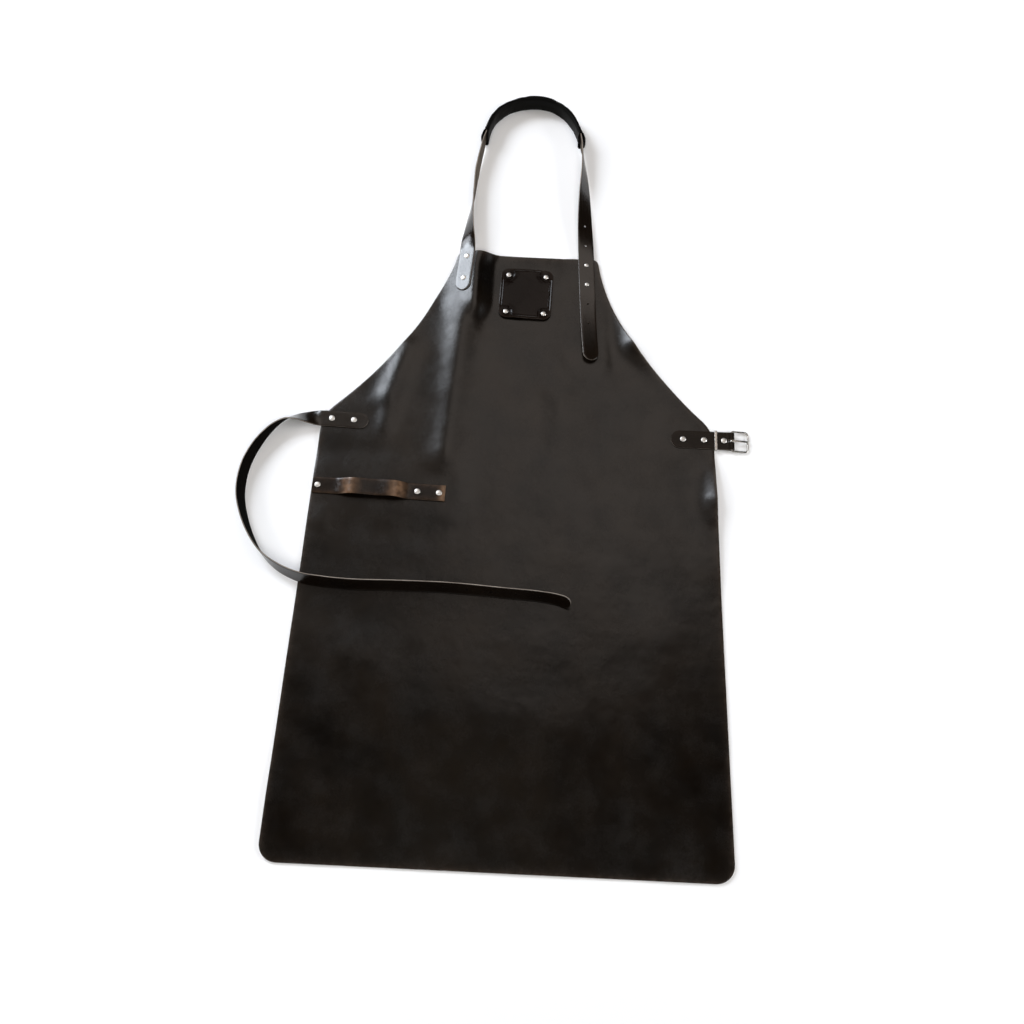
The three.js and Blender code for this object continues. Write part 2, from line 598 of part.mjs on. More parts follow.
// Buckle frame: wire bent to a rectangle, tight at the heel bar and rounder at the far bar
function frameGeometry() {
  const bends = [
    { x: FRAME_REACH, y: FRAME_HALF_WIDTH, radius: FRAME_FAR_CORNER, from: 0 },
    { x: 0, y: FRAME_HALF_WIDTH, radius: FRAME_HEEL_CORNER, from: 90 },
    { x: 0, y: -FRAME_HALF_WIDTH, radius: FRAME_HEEL_CORNER, from: 180 },
    { x: FRAME_REACH, y: -FRAME_HALF_WIDTH, radius: FRAME_FAR_CORNER, from: 270 },
  ];
  const rings = [];
  for (const { x, y, radius, from } of bends) {
    const inward = new THREE.Vector2(Math.cos(degToRad(from + 45)), Math.sin(degToRad(from + 45)));
    const centre = new THREE.Vector2(x, y).addScaledVector(inward, -radius * Math.SQRT2);
    for (let index = 0; index <= FRAME_CORNER_STEPS; index++) {
      const angle = degToRad(from + (90 * index) / FRAME_CORNER_STEPS);
      const outward = new THREE.Vector3(Math.cos(angle), Math.sin(angle), 0);
      const middle = new THREE.Vector3(centre.x, centre.y, 0).addScaledVector(outward, radius);
      const ring = [];
      for (let side = 0; side < WIRE_SIDES; side++) {
        const turn = (-2 * Math.PI * side) / WIRE_SIDES;
        ring.push(middle.clone()
          .addScaledVector(outward, WIRE_RADIUS * Math.cos(turn))
          .addScaledVector(UP, WIRE_RADIUS * Math.sin(turn)));
      }
      rings.push(ring);
    }
  }
  return loft(rings, true);
}

// Prong: an eye round the heel bar and a pin that rests on the far bar
function prongGeometry() {
  const seat = WIRE_RADIUS + GAP;
  const outline = new THREE.Shape();
  outline.absarc(0, 0, PRONG_RING, degToRad(PRONG_RING_FROM), 2 * Math.PI, false);
  outline.lineTo(PRONG_ARCH_X, seat + PRONG_ARCH);
  outline.lineTo(FRAME_REACH, seat);
  outline.lineTo(FRAME_REACH + WIRE_RADIUS, seat);
  outline.lineTo(FRAME_REACH + WIRE_RADIUS, seat + PRONG_TIP_THICK);
  outline.lineTo(FRAME_REACH, seat + PRONG_THICK_AT_BAR);
  outline.lineTo(PRONG_ARCH_X, seat + PRONG_ARCH + PRONG_THICK);
  const eye = new THREE.Path();
  eye.absarc(0, 0, seat, 0, 2 * Math.PI, true);
  outline.holes.push(eye);
  const geometry = extruded(outline, PRONG_WIDTH, PRONG_RING_STEPS);
  geometry.rotateX(Math.PI / 2);
  return geometry.translate(0, PRONG_WIDTH / 2, 0);
}

// Assembly
const apron = new THREE.Group();

function addPiece(parent, name, geometry, material) {
  const mesh = new THREE.Mesh(geometry, material);
  mesh.name = name;
  parent.add(mesh);
  return mesh;
}

const panelHoles = [];

// Sets a rivet from the back of the panel through what lies on it, and notes the panel's hole
function addRivet(name, back, face, axis, capRadius, throughPanel = true) {
  addPiece(apron, name, rivetGeometry(back, face, axis, capRadius), nickel());
  if (throughPanel) {
    panelHoles.push(punch(back, axis));
  }
}

// Sets a rivet through a strap at a distance along it
function rivetStrap(name, strap, distance, capRadius) {
  const { middle, grain } = strap.at(distance);
  const face = middle.clone().addScaledVector(grain, STRAP_THICK / 2);
  const depth = STRAP_THICK + GAP + LEATHER * grain.z;
  addRivet(name, face.clone().addScaledVector(grain, -depth), face, grain, capRadius);
}

function strapPunches(strap, distances) {
  return distances.map((distance) => {
    const { middle, grain } = strap.at(distance);
    return punch(middle, grain);
  });
}

function pitched(first, pitch, count) {
  return Array.from({ length: count }, (_, index) => first + pitch * index);
}

const neckStrap = strapOn(NECK_ROUTE, { roundStart: true, roundEnd: true, step: NECK_STEP });
const neckLeftHoles = pitched(NECK_LEFT_FIRST_HOLE, NECK_LEFT_PITCH, NECK_LEFT_HOLES);
const neckTailHoles = pitched(NECK_TAIL_FIRST_HOLE, NECK_TAIL_PITCH, NECK_TAIL_HOLES)
  .map((distance) => neckStrap.length - distance);
const neckPunches = strapPunches(neckStrap, [...neckLeftHoles, ...neckTailHoles]);
addPiece(apron, 'neck_strap', cut(neckStrap.geometry, neckPunches), leather(0x2a211d, 0.4));
rivetStrap('rivet_neck_left_1', neckStrap, neckLeftHoles[0], CAP_RADIUS);
rivetStrap('rivet_neck_left_2', neckStrap, neckLeftHoles[1], CAP_RADIUS);
NECK_TAIL_BOLTS.forEach((hole, index) => {
  rivetStrap(`rivet_neck_right_${index + 1}`, neckStrap, neckTailHoles[hole], BOLT_CAP_RADIUS);
});
addPiece(apron, 'neck_pad', padGeometry(neckStrap), leather(0x131212, 0.75));

const waistStrap = strapOn(WAIST_ROUTE, { roundStart: true, roundEnd: true, step: WAIST_STEP });
const waistTailHoles = pitched(WAIST_TAIL_FIRST_HOLE, WAIST_TAIL_PITCH, WAIST_TAIL_HOLES)
  .map((distance) => waistStrap.length - distance);
const waistPunches = strapPunches(waistStrap, [...WAIST_RIVETS_FROM_END, ...waistTailHoles]);
addPiece(apron, 'waist_strap', cut(waistStrap.geometry, waistPunches), leather(0x241c18, 0.4));
WAIST_RIVETS_FROM_END.forEach((distance, index) => {
  rivetStrap(`rivet_waist_${index + 1}`, waistStrap, distance, CAP_RADIUS);
});

const towelStrap = strapOn(TOWEL_ROUTE, { roundStart: false, roundEnd: false, step: TOWEL_STEP });
const towelPunches = strapPunches(towelStrap, TOWEL_RIVETS_FROM_END);
addPiece(apron, 'towel_strap', cut(towelStrap.geometry, towelPunches), leather(0x2d2019, 0.35));
TOWEL_RIVETS_FROM_END.forEach((distance, index) => {
  rivetStrap(`rivet_towel_${index + 1}`, towelStrap, distance, CAP_RADIUS);
});

const patchPunches = [];
const patchFaceZ = panelFace(PATCH_X, PATCH_Y) + GAP + LEATHER;
[[-1, 1], [1, 1], [-1, -1], [1, -1]].forEach(([sideX, sideY], index) => {
  const face = new THREE.Vector3(sideX * PATCH_RIVET_X, sideY * PATCH_RIVET_Y, 0)
    .applyAxisAngle(UP, PATCH_TURN)
    .add(new THREE.Vector3(PATCH_X, PATCH_Y, patchFaceZ));
  const back = face.clone().setZ(panelBack(face.x, face.y));
  patchPunches.push(punch(face, UP));
  addRivet(`rivet_patch_${index + 1}`, back, face, UP, PATCH_CAP_RADIUS);
});
addPiece(apron, 'patch', patchGeometry(patchPunches), leather(0x231a18, 0.25));

const tabPunches = TAB_RIVETS_X.map((x) => punch(new THREE.Vector3(x, TAB_Y, BAR_Z), UP));
addPiece(apron, 'buckle_tab', tabGeometry(tabPunches), leather(0x221b17, 0.4));
TAB_RIVETS_X.forEach((x, index) => {
  const onPanel = x < TAB_LOWER_START_X;
  const face = new THREE.Vector3(x, TAB_Y, TAB_UPPER_Z + LEATHER / 2);
  const back = face.clone().setZ(onPanel ? panelBack(x, TAB_Y) : TAB_LOWER_Z - LEATHER / 2);
  addRivet(`rivet_tab_${index + 1}`, back, face, UP, CAP_RADIUS, onPanel);
});

addPiece(apron, 'panel', panelGeometry(panelHoles), leather(0x2a2421, 0.45));

// The keeper's band is drawn upright, then turned to lie round the tab
const keeper = new THREE.Group();
keeper.position.set(KEEPER_X, TAB_Y, BAR_Z);
keeper.quaternion.setFromRotationMatrix(new THREE.Matrix4().makeBasis(
  new THREE.Vector3(0, 1, 0), new THREE.Vector3(0, 0, 1), new THREE.Vector3(1, 0, 0)));
addPiece(keeper, 'keeper', keeperGeometry(), nickel());
apron.add(keeper);

// The buckle turns about its heel bar, and at rest its far bar lies on the surface
const buckle = new THREE.Group();
buckle.position.set(BAR_X, TAB_Y, BAR_Z);
buckle.rotation.y = Math.asin((BAR_Z - WIRE_RADIUS - FRAME_FLOOR_ROOM) / FRAME_REACH);
addPiece(buckle, 'buckle_frame', frameGeometry(), nickel());
addPiece(buckle, 'prong', prongGeometry(), nickel());
apron.add(buckle);

export default apron;
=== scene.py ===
# A bib apron of dark brown leather, lying on a pale floor with its straps as they fell.
import math

import bpy
import numpy as np
from mathutils import Matrix, Vector, noise


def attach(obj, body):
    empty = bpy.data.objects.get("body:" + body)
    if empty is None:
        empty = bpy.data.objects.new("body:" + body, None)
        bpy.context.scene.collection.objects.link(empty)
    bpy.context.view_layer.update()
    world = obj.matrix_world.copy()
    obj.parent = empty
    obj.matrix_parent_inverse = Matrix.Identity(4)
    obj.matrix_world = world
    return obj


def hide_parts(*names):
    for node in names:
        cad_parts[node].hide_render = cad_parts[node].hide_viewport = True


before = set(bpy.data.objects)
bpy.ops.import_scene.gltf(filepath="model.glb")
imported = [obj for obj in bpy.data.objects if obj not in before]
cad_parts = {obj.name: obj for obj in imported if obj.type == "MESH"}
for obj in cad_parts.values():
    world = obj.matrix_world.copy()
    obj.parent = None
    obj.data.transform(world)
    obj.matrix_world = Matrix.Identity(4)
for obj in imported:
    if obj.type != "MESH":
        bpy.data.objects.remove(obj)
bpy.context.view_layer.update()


# Panel
# One cut of smooth-grained cowhide, 2 mm thick, that makes both the bib and the skirt. Its edges are
# left as cut and rubbed with dye. It lies on the floor with a few soft folds that its straps pull up.

MM = 0.001
LEATHER = 2 * MM
GRAIN_FACE, CUT_FACE, FLESH_FACE = 0, 1, 2
GAP = 0.3 * MM
RIVET_ROOM = 1.8 * MM

HEM_Y = -650 * MM
HEM_HALF = 320 * MM
HEM_CORNER = 26 * MM
WAIST_HALF = 298 * MM
SKIRT_TOP_Y = -24 * MM
BIB_TOP_Y = 293 * MM
BIB_CORNER = 11 * MM
BIB_LEFT_TRIM = 10 * MM
BIB_TRIM_Y = 200 * MM
ARMHOLE_WAIST = (297 * MM, 3 * MM)
ARMHOLE_PULL = (140 * MM, 150 * MM)
ARMHOLE_BIB = (118 * MM, BIB_TOP_Y - BIB_CORNER)
WAIST_CORNER_END = 0.05
PANEL_COLUMNS = 150
HEM_CORNER_ROWS = 9
SKIRT_ROWS = 146
WAIST_CORNER_ROWS = 8
ARMHOLE_ROWS = 60
BIB_CORNER_ROWS = 5
EDGE_RUB = 3.5 * MM
EDGE_ROUND = 0.55 * MM
EDGE_SEGMENTS = 2
PANEL_SHARP = math.radians(50)
NECK_TILT = math.radians(15.5)
NECK_LEFT_RISE = 11.5

# Soft ridges, in millimetres: from x, y to x, y, the rise at each end, the spread, and how round the top is
FOLDS = [
    (-86, 300, -96, 30, 12, 0.5, 40, 1.5),
    (-94, 175, -110, -120, 4, 6.4, 24, 1.7),
    (-175, 122, -213, -8, 3.8, 6.8, 19, 1.9),
    (-281, -146, -286, -190, 5, 1, 18, 1.8),
    (163, 225, 183, 150, 8, 13.5, 23, 1.8),
    (202, 117, 262, 36, 7, 0.5, 24, 1.8),
    (306, -42, 308, -105, 7, 12.5, 24, 1.8),
    (310, -142, 313, -260, 7, 0.3, 26, 1.8),
    (-222, -362, -180, -380, 1.6, 0.8, 22, 2),
    (-200, -430, 130, -470, 3, 2, 70, 2),
    (-290, -560, -60, -585, 2.5, 2, 45, 2),
    (210, -330, 235, -600, 2.5, 2, 45, 2),
    (60, 100, 70, -120, 2.5, 1, 40, 2),
]

# Places pressed flat, in millimetres: middle x, y, half sizes, level, slope across, border, fade
FLATS = [
    (-95.2, 250, 12.5, 42, NECK_LEFT_RISE, math.tan(NECK_TILT), 1, 44),
    (3.8, 224, 42, 45, 1.8, 0, 1, 42),
    (103, 199, 21, 94, 1.8, 0, 4, 20),
    (-263, -5, 38, 14, 1.8, 0, 3, 42),
    (-202, -115, 101, 16, 1.8, 0, 3, 52),
    (266, -13, 34, 16, 1.8, 0, 3, 40),
    (-105, -268, 205, 22, 0, 0, 10, 40),
    (0, 0, 24, 24, 0, 0, 4, 44),
]


def mix(start, end, share):
    return start + (end - start) * share


def smooth(share):
    return share * share * (3 - 2 * share)


def side_half(y):
    """Half-width of the skirt at a place up the apron."""
    return mix(HEM_HALF, WAIST_HALF, (y - HEM_Y) / -HEM_Y)


def bent(start, pull, end, share):
    """A point of the curve from start to end that leans towards pull."""
    legs = [mix(a, b, share) for a, b in zip(start, pull)]
    ends = [mix(a, b, share) for a, b in zip(pull, end)]
    return [mix(a, b, share) for a, b in zip(legs, ends)]


def outline_rows():
    """Each row's place up the apron and its half-width, from the hem to the bib."""
    rows = []
    for step in range(HEM_CORNER_ROWS + 1):
        angle = step / HEM_CORNER_ROWS * math.pi / 2
        y = HEM_Y + HEM_CORNER * (1 - math.cos(angle))
        rows.append((y, side_half(y) - HEM_CORNER * (1 - math.sin(angle))))
    for step in range(1, SKIRT_ROWS + 1):
        y = mix(HEM_Y + HEM_CORNER, SKIRT_TOP_Y, step / SKIRT_ROWS)
        rows.append((y, side_half(y)))
    armhole = [
        bent(ARMHOLE_WAIST, ARMHOLE_PULL, ARMHOLE_BIB, mix(WAIST_CORNER_END, 1, step / ARMHOLE_ROWS))
        for step in range(ARMHOLE_ROWS + 1)]
    skirt_end = (side_half(SKIRT_TOP_Y), SKIRT_TOP_Y)
    corner = [
        bent(skirt_end, ARMHOLE_WAIST, armhole[0], step / WAIST_CORNER_ROWS)
        for step in range(1, WAIST_CORNER_ROWS)]
    rows += [(y, half) for half, y in corner + armhole]
    for step in range(1, BIB_CORNER_ROWS + 1):
        angle = step / BIB_CORNER_ROWS * math.pi / 2
        half = ARMHOLE_BIB[0] - BIB_CORNER * (1 - math.cos(angle))
        rows.append((ARMHOLE_BIB[1] + BIB_CORNER * math.sin(angle), half))
    return rows


def flat_cut():
    """The panel as it is cut, flat on the floor, with how near each point is to an edge."""
    rows = outline_rows()
    across = PANEL_COLUMNS + 1
    points = []
    rub = []
    for y, half in rows:
        rise = max(0, (y - BIB_TRIM_Y) / (BIB_TOP_Y - BIB_TRIM_Y))
        left = half - BIB_LEFT_TRIM * smooth(rise)
        for column in range(across):
            x = mix(-left, half, column / PANEL_COLUMNS)
            inside = min(x + left, half - x, y - HEM_Y, BIB_TOP_Y - y)
            points.append((x, y, 0))
            rub.append(math.exp(-inside / EDGE_RUB))
    faces = []
    for row in range(len(rows) - 1):
        for column in range(PANEL_COLUMNS):
            first = row * across + column
            faces.append((first, first + 1, first + across + 1, first + across))
    mesh = bpy.data.meshes.new("panel")
    mesh.from_pydata(points, [], faces)
    mesh.attributes.new("rub", "FLOAT", "POINT").data.foreach_set("value", rub)
    return mesh


def add_node(tree, kind, inputs=(), **settings):
    """A node with its settings, whose inputs are values or the outputs of other nodes."""
    node = tree.nodes.new(kind)
    for name, value in settings.items():
        setattr(node, name, value)
    for key, value in dict(inputs).items():
        if isinstance(value, bpy.types.NodeSocket):
            tree.links.new(value, node.inputs[key])
        else:
            node.inputs[key].default_value = value
    return node


def math_node(tree, operation, *values):
    node = add_node(tree, "ShaderNodeMath", enumerate(values), operation=operation)
    return node.outputs[0]


def vector_node(tree, operation, *values, output=0):
    node = add_node(tree, "ShaderNodeVectorMath", enumerate(values), operation=operation)
    return node.outputs[output]


def node_group(name, inputs, outputs):
    """An empty node group with named sockets, and its two ends."""
    tree = bpy.data.node_groups.new(name, "GeometryNodeTree")
    for direction, sockets in (("INPUT", inputs), ("OUTPUT", outputs)):
        for label, kind in sockets:
            tree.interface.new_socket(label, in_out=direction, socket_type="NodeSocket" + kind)
    return tree, tree.nodes.new("NodeGroupInput").outputs, tree.nodes.new("NodeGroupOutput").inputs


def fold_group():
    """How high a soft ridge between two points lifts the leather."""
    needs = [("From", "Vector"), ("To", "Vector")]
    needs += [("From Rise", "Float"), ("To Rise", "Float"), ("Spread", "Float"), ("Roundness", "Float")]
    tree, given, result = node_group("Fold", needs, [("Rise", "Float")])
    place = tree.nodes.new("GeometryNodeInputPosition").outputs[0]
    run = vector_node(tree, "SUBTRACT", given["To"], given["From"])
    reach = vector_node(tree, "SUBTRACT", place, given["From"])
    along = math_node(
        tree, "DIVIDE",
        vector_node(tree, "DOT_PRODUCT", reach, run, output="Value"),
        vector_node(tree, "DOT_PRODUCT", run, run, output="Value"))
    share = add_node(tree, "ShaderNodeClamp", {"Value": along}).outputs[0]
    nearest = add_node(tree, "ShaderNodeVectorMath", {0: run, "Scale": share}, operation="SCALE")
    beyond = vector_node(tree, "SUBTRACT", reach, nearest.outputs[0])
    away = vector_node(tree, "LENGTH", beyond, output="Value")
    ratio = math_node(tree, "DIVIDE", away, given["Spread"])
    steep = math_node(tree, "POWER", ratio, given["Roundness"])
    fall = math_node(tree, "EXPONENT", math_node(tree, "MULTIPLY", steep, -1))
    rise = add_node(tree, "ShaderNodeMix", {0: share, 2: given["From Rise"], 3: given["To Rise"]})
    tree.links.new(math_node(tree, "MULTIPLY", rise.outputs[0], fall), result["Rise"])
    return tree


def flat_group():
    """Presses the leather to a level inside a rectangle, and says how free it is left."""
    needs = [("Height", "Float"), ("Free", "Float"), ("Middle", "Vector"), ("Half", "Vector")]
    needs += [("Level", "Float"), ("Slope", "Float"), ("Border", "Float"), ("Fade", "Float")]
    tree, given, result = node_group("Pressed flat", needs, [("Height", "Float"), ("Free", "Float")])
    place = tree.nodes.new("GeometryNodeInputPosition").outputs[0]
    reach = vector_node(tree, "SUBTRACT", place, given["Middle"])
    outside = vector_node(tree, "SUBTRACT", vector_node(tree, "ABSOLUTE", reach), given["Half"])
    away = vector_node(tree, "LENGTH", vector_node(tree, "MAXIMUM", outside, (0, 0, 0)), output="Value")
    beyond = math_node(tree, "SUBTRACT", away, given["Border"])
    loose = add_node(
        tree, "ShaderNodeMapRange", {"Value": beyond, "From Min": 0, "From Max": given["Fade"]},
        interpolation_type="SMOOTHSTEP").outputs[0]
    across = add_node(tree, "ShaderNodeSeparateXYZ", {0: reach}).outputs[0]
    level = math_node(tree, "MULTIPLY_ADD", across, given["Slope"], given["Level"])
    height = add_node(tree, "ShaderNodeMix", {0: loose, 2: level, 3: given["Height"]})
    tree.links.new(height.outputs[0], result["Height"])
    tree.links.new(math_node(tree, "MULTIPLY", given["Free"], loose), result["Free"])
    return tree


def call_group(tree, group, inputs):
    return add_node(tree, "GeometryNodeGroup", inputs, node_tree=group).outputs


def ripple(tree, size, depth, seed):
    """A gentle unevenness of a size across and a depth, a little more up than down."""
    inputs = {"Scale": math_node(tree, "DIVIDE", 1, size), "Detail": 1, "W": seed}
    wave = add_node(tree, "ShaderNodeTexNoise", inputs, noise_dimensions="4D").outputs[0]
    return math_node(tree, "MULTIPLY", math_node(tree, "SUBTRACT", wave, RIPPLE_LEVEL), depth)


def lying_tree():
    """Lays the flat cut on the floor: its folds, its flat places and the ripples between them."""
    needs = [("Cut", "Geometry"), ("Ripple Size", "Float"), ("Ripple Depth", "Float")]
    needs += [("Crease Size", "Float"), ("Crease Depth", "Float"), ("Seed", "Float")]
    needs += [("Finish", "Material")]
    tree, given, result = node_group("Lying leather", needs, [("Lying", "Geometry")])
    fold = fold_group()
    flat = flat_group()
    height = 0
    for from_x, from_y, to_x, to_y, from_rise, to_rise, spread, roundness in FOLDS:
        rise = call_group(tree, fold, {
            "From": (from_x * MM, from_y * MM, 0), "To": (to_x * MM, to_y * MM, 0),
            "From Rise": from_rise * MM, "To Rise": to_rise * MM, "Spread": spread * MM,
            "Roundness": roundness})["Rise"]
        height = math_node(tree, "ADD", height, rise)
    free = 1
    for x, y, half_x, half_y, level, slope, border, fade in FLATS:
        pressed = call_group(tree, flat, {
            "Height": height, "Free": free, "Middle": (x * MM, y * MM, 0),
            "Half": (half_x * MM, half_y * MM, 0), "Level": level * MM, "Slope": slope,
            "Border": border * MM, "Fade": fade * MM})
        height = pressed["Height"]
        free = pressed["Free"]
    uneven = math_node(
        tree, "ADD",
        ripple(tree, given["Ripple Size"], given["Ripple Depth"], given["Seed"]),
        ripple(tree, given["Crease Size"], given["Crease Depth"], given["Seed"]))
    height = math_node(tree, "ADD", height, math_node(tree, "MULTIPLY", uneven, free))
    height = math_node(tree, "MAXIMUM", height, 0)
    lift = add_node(tree, "ShaderNodeCombineXYZ", {"Z": height}).outputs[0]
    lying = add_node(tree, "GeometryNodeSetPosition", {"Geometry": given["Cut"], "Offset": lift})
    whole = add_node(tree, "GeometryNodeRealizeInstances", {0: lying.outputs[0]})
    done = add_node(tree, "GeometryNodeSetMaterial", {0: whole.outputs[0], "Material": given["Finish"]})
    tree.links.new(done.outputs[0], result["Lying"])
    return tree


def bake(thing):
    """Makes the modifiers' result the piece's own mesh."""
    bpy.context.view_layer.update()
    graph = bpy.context.evaluated_depsgraph_get()
    result = thing.evaluated_get(graph)
    mesh = bpy.data.meshes.new_from_object(result, preserve_all_data_layers=True, depsgraph=graph)
    thing.modifiers.clear()
    thing.data = mesh
    mesh.name = thing.name


def grown(name, mesh, tree, values):
    """The plain mesh that a tree makes from a mesh, with the tree's inputs set by name."""
    thing = bpy.data.objects.new(name, mesh)
    bpy.context.scene.collection.objects.link(thing)
    modifier = thing.modifiers.new("Shape", "NODES")
    modifier.node_group = tree
    for item in tree.interface.items_tree:
        if item.in_out == "INPUT" and item.name in values:
            modifier[item.identifier] = values[item.name]
    bake(thing)
    return thing


def object_place(tree):
    return tree.nodes.new("ShaderNodeTexCoord").outputs["Object"]


def noise_field(tree, place, size, detail=2, seed=0):
    """Soft blotches of about a size, from 0 to 1."""
    inputs = {"Vector": place, "W": seed, "Scale": 1 / size, "Detail": detail}
    return add_node(tree, "ShaderNodeTexNoise", inputs, noise_dimensions="4D").outputs[0]


def mapped(tree, value, low, high, to_low=0, to_high=1):
    """A value stretched from one range to another and kept inside it."""
    inputs = {"Value": value, "From Min": low, "From Max": high, "To Min": to_low, "To Max": to_high}
    return add_node(tree, "ShaderNodeMapRange", inputs).outputs[0]


def colour_mix(tree, share, start, end):
    colours = [c if isinstance(c, bpy.types.NodeSocket) else (*c, 1) for c in (start, end)]
    node = add_node(tree, "ShaderNodeMix", {0: share, 6: colours[0], 7: colours[1]}, data_type="RGBA")
    return node.outputs[2]


def bumped(tree, height, depth, under=None):
    """A surface direction that follows a height, over an earlier one."""
    inputs = {"Height": height, "Distance": depth}
    if under:
        inputs["Normal"] = under
    return add_node(tree, "ShaderNodeBump", inputs).outputs[0]


def new_finish(name):
    """A new material, its node tree and the inputs of its surface."""
    material = bpy.data.materials.new(name)
    material.use_nodes = True
    return material, material.node_tree, material.node_tree.nodes["Principled BSDF"].inputs


# Blotches in the leather: their size, and the range of the noise in which they go from none to full
DYE_BLOTCH = 95 * MM
DYE_RANGE = (0.36, 0.66)
DYE_MOTTLE = 7 * MM
MOTTLE_RANGE = (0.3, 0.75)
MOTTLE_SHARE = 0.35
RUB_BLOTCH = 9 * MM
RUB_RANGE = (0.35, 0.65)
RUB_LEAST = 0.4
WAX_BLOTCH = 38 * MM
WAX_RANGE = (0.3, 0.7)
WAX_THICK = 0.05
WAX_THIN = 0.07
PORE_WALL = 0.18
PORE_GLOSS = 0.05
PORE_DEPTH = 0.014 * MM
FIBRE_SHINE = 0.02
FIBRE_BLOTCH = 30 * MM
FIBRE_BLOTCH_RANGE = (0.35, 0.65)
FIBRE_BLOTCH_SHARE = 0.5
FIBRE_SHARE = 0.6
FIBRE_RANGE = (0.3, 0.7)
FIBRE_ROUGHNESS = (0.75, 0.95)
FIBRE_DEPTH = 0.1 * MM


def rub_and_sheen_share(tree, place, amount):
    """How far the dye is rubbed off, from the piece's own nearness to its edges, and on the towel strap also
    where a copper highlight is painted on its bends.
    """
    rub = add_node(tree, "ShaderNodeAttribute", attribute_name="rub").outputs["Fac"]
    patchy = mapped(tree, noise_field(tree, place, RUB_BLOTCH, 3), *RUB_RANGE, RUB_LEAST, 1)
    return math_node(tree, "MULTIPLY", math_node(tree, "MULTIPLY", rub, patchy), amount)


def grain_leather(name, colours, gloss, shine, pore, crease, crease_depth, rub_amount):
    """The smooth hair side: dyed, waxed and creased, paler where it is rubbed and where a highlight is
    painted over worn places.
    """
    deep, faded, rubbed_and_sheen = colours
    material, tree, surface = new_finish(name)
    surface["Specular IOR Level"].default_value = shine
    place = object_place(tree)
    blotch = mapped(tree, noise_field(tree, place, DYE_BLOTCH, 4), *DYE_RANGE)
    mottle = mapped(tree, noise_field(tree, place, DYE_MOTTLE, 4, seed=3), *MOTTLE_RANGE)
    colour = colour_mix(tree, blotch, deep, faded)
    colour = colour_mix(tree, math_node(tree, "MULTIPLY", mottle, MOTTLE_SHARE), colour, deep)
    colour = colour_mix(tree, rub_and_sheen_share(tree, place, rub_amount), colour, rubbed_and_sheen)
    tree.links.new(colour, surface["Base Color"])
    cells = add_node(
        tree, "ShaderNodeTexVoronoi", {"Vector": place, "Scale": 1 / pore}, feature="DISTANCE_TO_EDGE")
    pores = mapped(tree, cells.outputs["Distance"], 0, PORE_WALL)
    wax = noise_field(tree, place, WAX_BLOTCH, 3, seed=7)
    waxed = mapped(tree, wax, *WAX_RANGE, gloss - WAX_THICK, gloss + WAX_THIN)
    tree.links.new(math_node(tree, "MULTIPLY_ADD", pores, -PORE_GLOSS, waxed), surface["Roughness"])
    fine = bumped(tree, pores, PORE_DEPTH)
    creased = bumped(tree, noise_field(tree, place, crease, 5, seed=11), crease_depth, fine)
    tree.links.new(creased, surface["Normal"])
    return material


def fibre_leather(name, pale, dark, fibre):
    """The rough flesh side or a cut edge: loose fibres that take the dye unevenly."""
    material, tree, surface = new_finish(name)
    surface["Specular IOR Level"].default_value = FIBRE_SHINE
    place = object_place(tree)
    blotch = mapped(tree, noise_field(tree, place, FIBRE_BLOTCH, 3), *FIBRE_BLOTCH_RANGE)
    fibres = noise_field(tree, place, fibre, 6, seed=5)
    fine = math_node(tree, "MULTIPLY", fibres, FIBRE_SHARE)
    tone = math_node(tree, "MULTIPLY_ADD", blotch, FIBRE_BLOTCH_SHARE, fine)
    tree.links.new(colour_mix(tree, tone, dark, pale), surface["Base Color"])
    tree.links.new(mapped(tree, fibres, *FIBRE_RANGE, *FIBRE_ROUGHNESS), surface["Roughness"])
    tree.links.new(bumped(tree, fibres, FIBRE_DEPTH), surface["Normal"])
    return material


# The deep dye, the faded dye and the rubbed edges
PANEL_COLOURS = [(0.0016, 0.0009, 0.0004), (0.0062, 0.0037, 0.0019), (0.045, 0.032, 0.024)]
PANEL_GLOSS = 0.27
PANEL_SHINE = 0.38
PANEL_PORE = 1.1 * MM
PANEL_CREASE = 14 * MM
LEATHER_CREASE_DEPTH = 0.3 * MM
LEATHER_RUB = 0.8
FLESH_PALE = (0.05, 0.043, 0.034)
FLESH_DARK = (0.018, 0.0155, 0.012)
EDGE_PALE = (0.12, 0.09, 0.066)
EDGE_DARK = (0.03, 0.021, 0.016)
FLESH_FIBRE = 0.7 * MM
EDGE_FIBRE = 0.4 * MM
RIPPLE_SIZE = 130 * MM
RIPPLE_DEPTH = 2.4 * MM
RIPPLE_LEVEL = 0.4
CREASE_SIZE = 34 * MM
CREASE_DEPTH = 0.6 * MM
PANEL_SEED = 4.0

panel_leather = grain_leather(
    "panel_leather", PANEL_COLOURS, PANEL_GLOSS, PANEL_SHINE, PANEL_PORE, PANEL_CREASE,
    LEATHER_CREASE_DEPTH, LEATHER_RUB)
cut_edge = fibre_leather("cut_edge", EDGE_PALE, EDGE_DARK, EDGE_FIBRE)
flesh = fibre_leather("flesh", FLESH_PALE, FLESH_DARK, FLESH_FIBRE)
panel = grown("panel", flat_cut(), lying_tree(), {
    "Ripple Size": RIPPLE_SIZE, "Ripple Depth": RIPPLE_DEPTH, "Crease Size": CREASE_SIZE,
    "Crease Depth": CREASE_DEPTH, "Seed": PANEL_SEED, "Finish": panel_leather})
panel.data.materials.append(cut_edge)
panel.data.materials.append(flesh)
thickness = panel.modifiers.new("Thickness", "SOLIDIFY")
thickness.thickness = LEATHER
thickness.offset = 1
thickness.use_quality_normals = True
thickness.material_offset_rim = CUT_FACE
thickness.material_offset = FLESH_FACE
rounding = panel.modifiers.new("Edge", "BEVEL")
rounding.width = EDGE_ROUND
rounding.segments = EDGE_SEGMENTS
rounding.limit_method = "ANGLE"
rounding.angle_limit = PANEL_SHARP
bake(panel)
panel.data.shade_smooth()
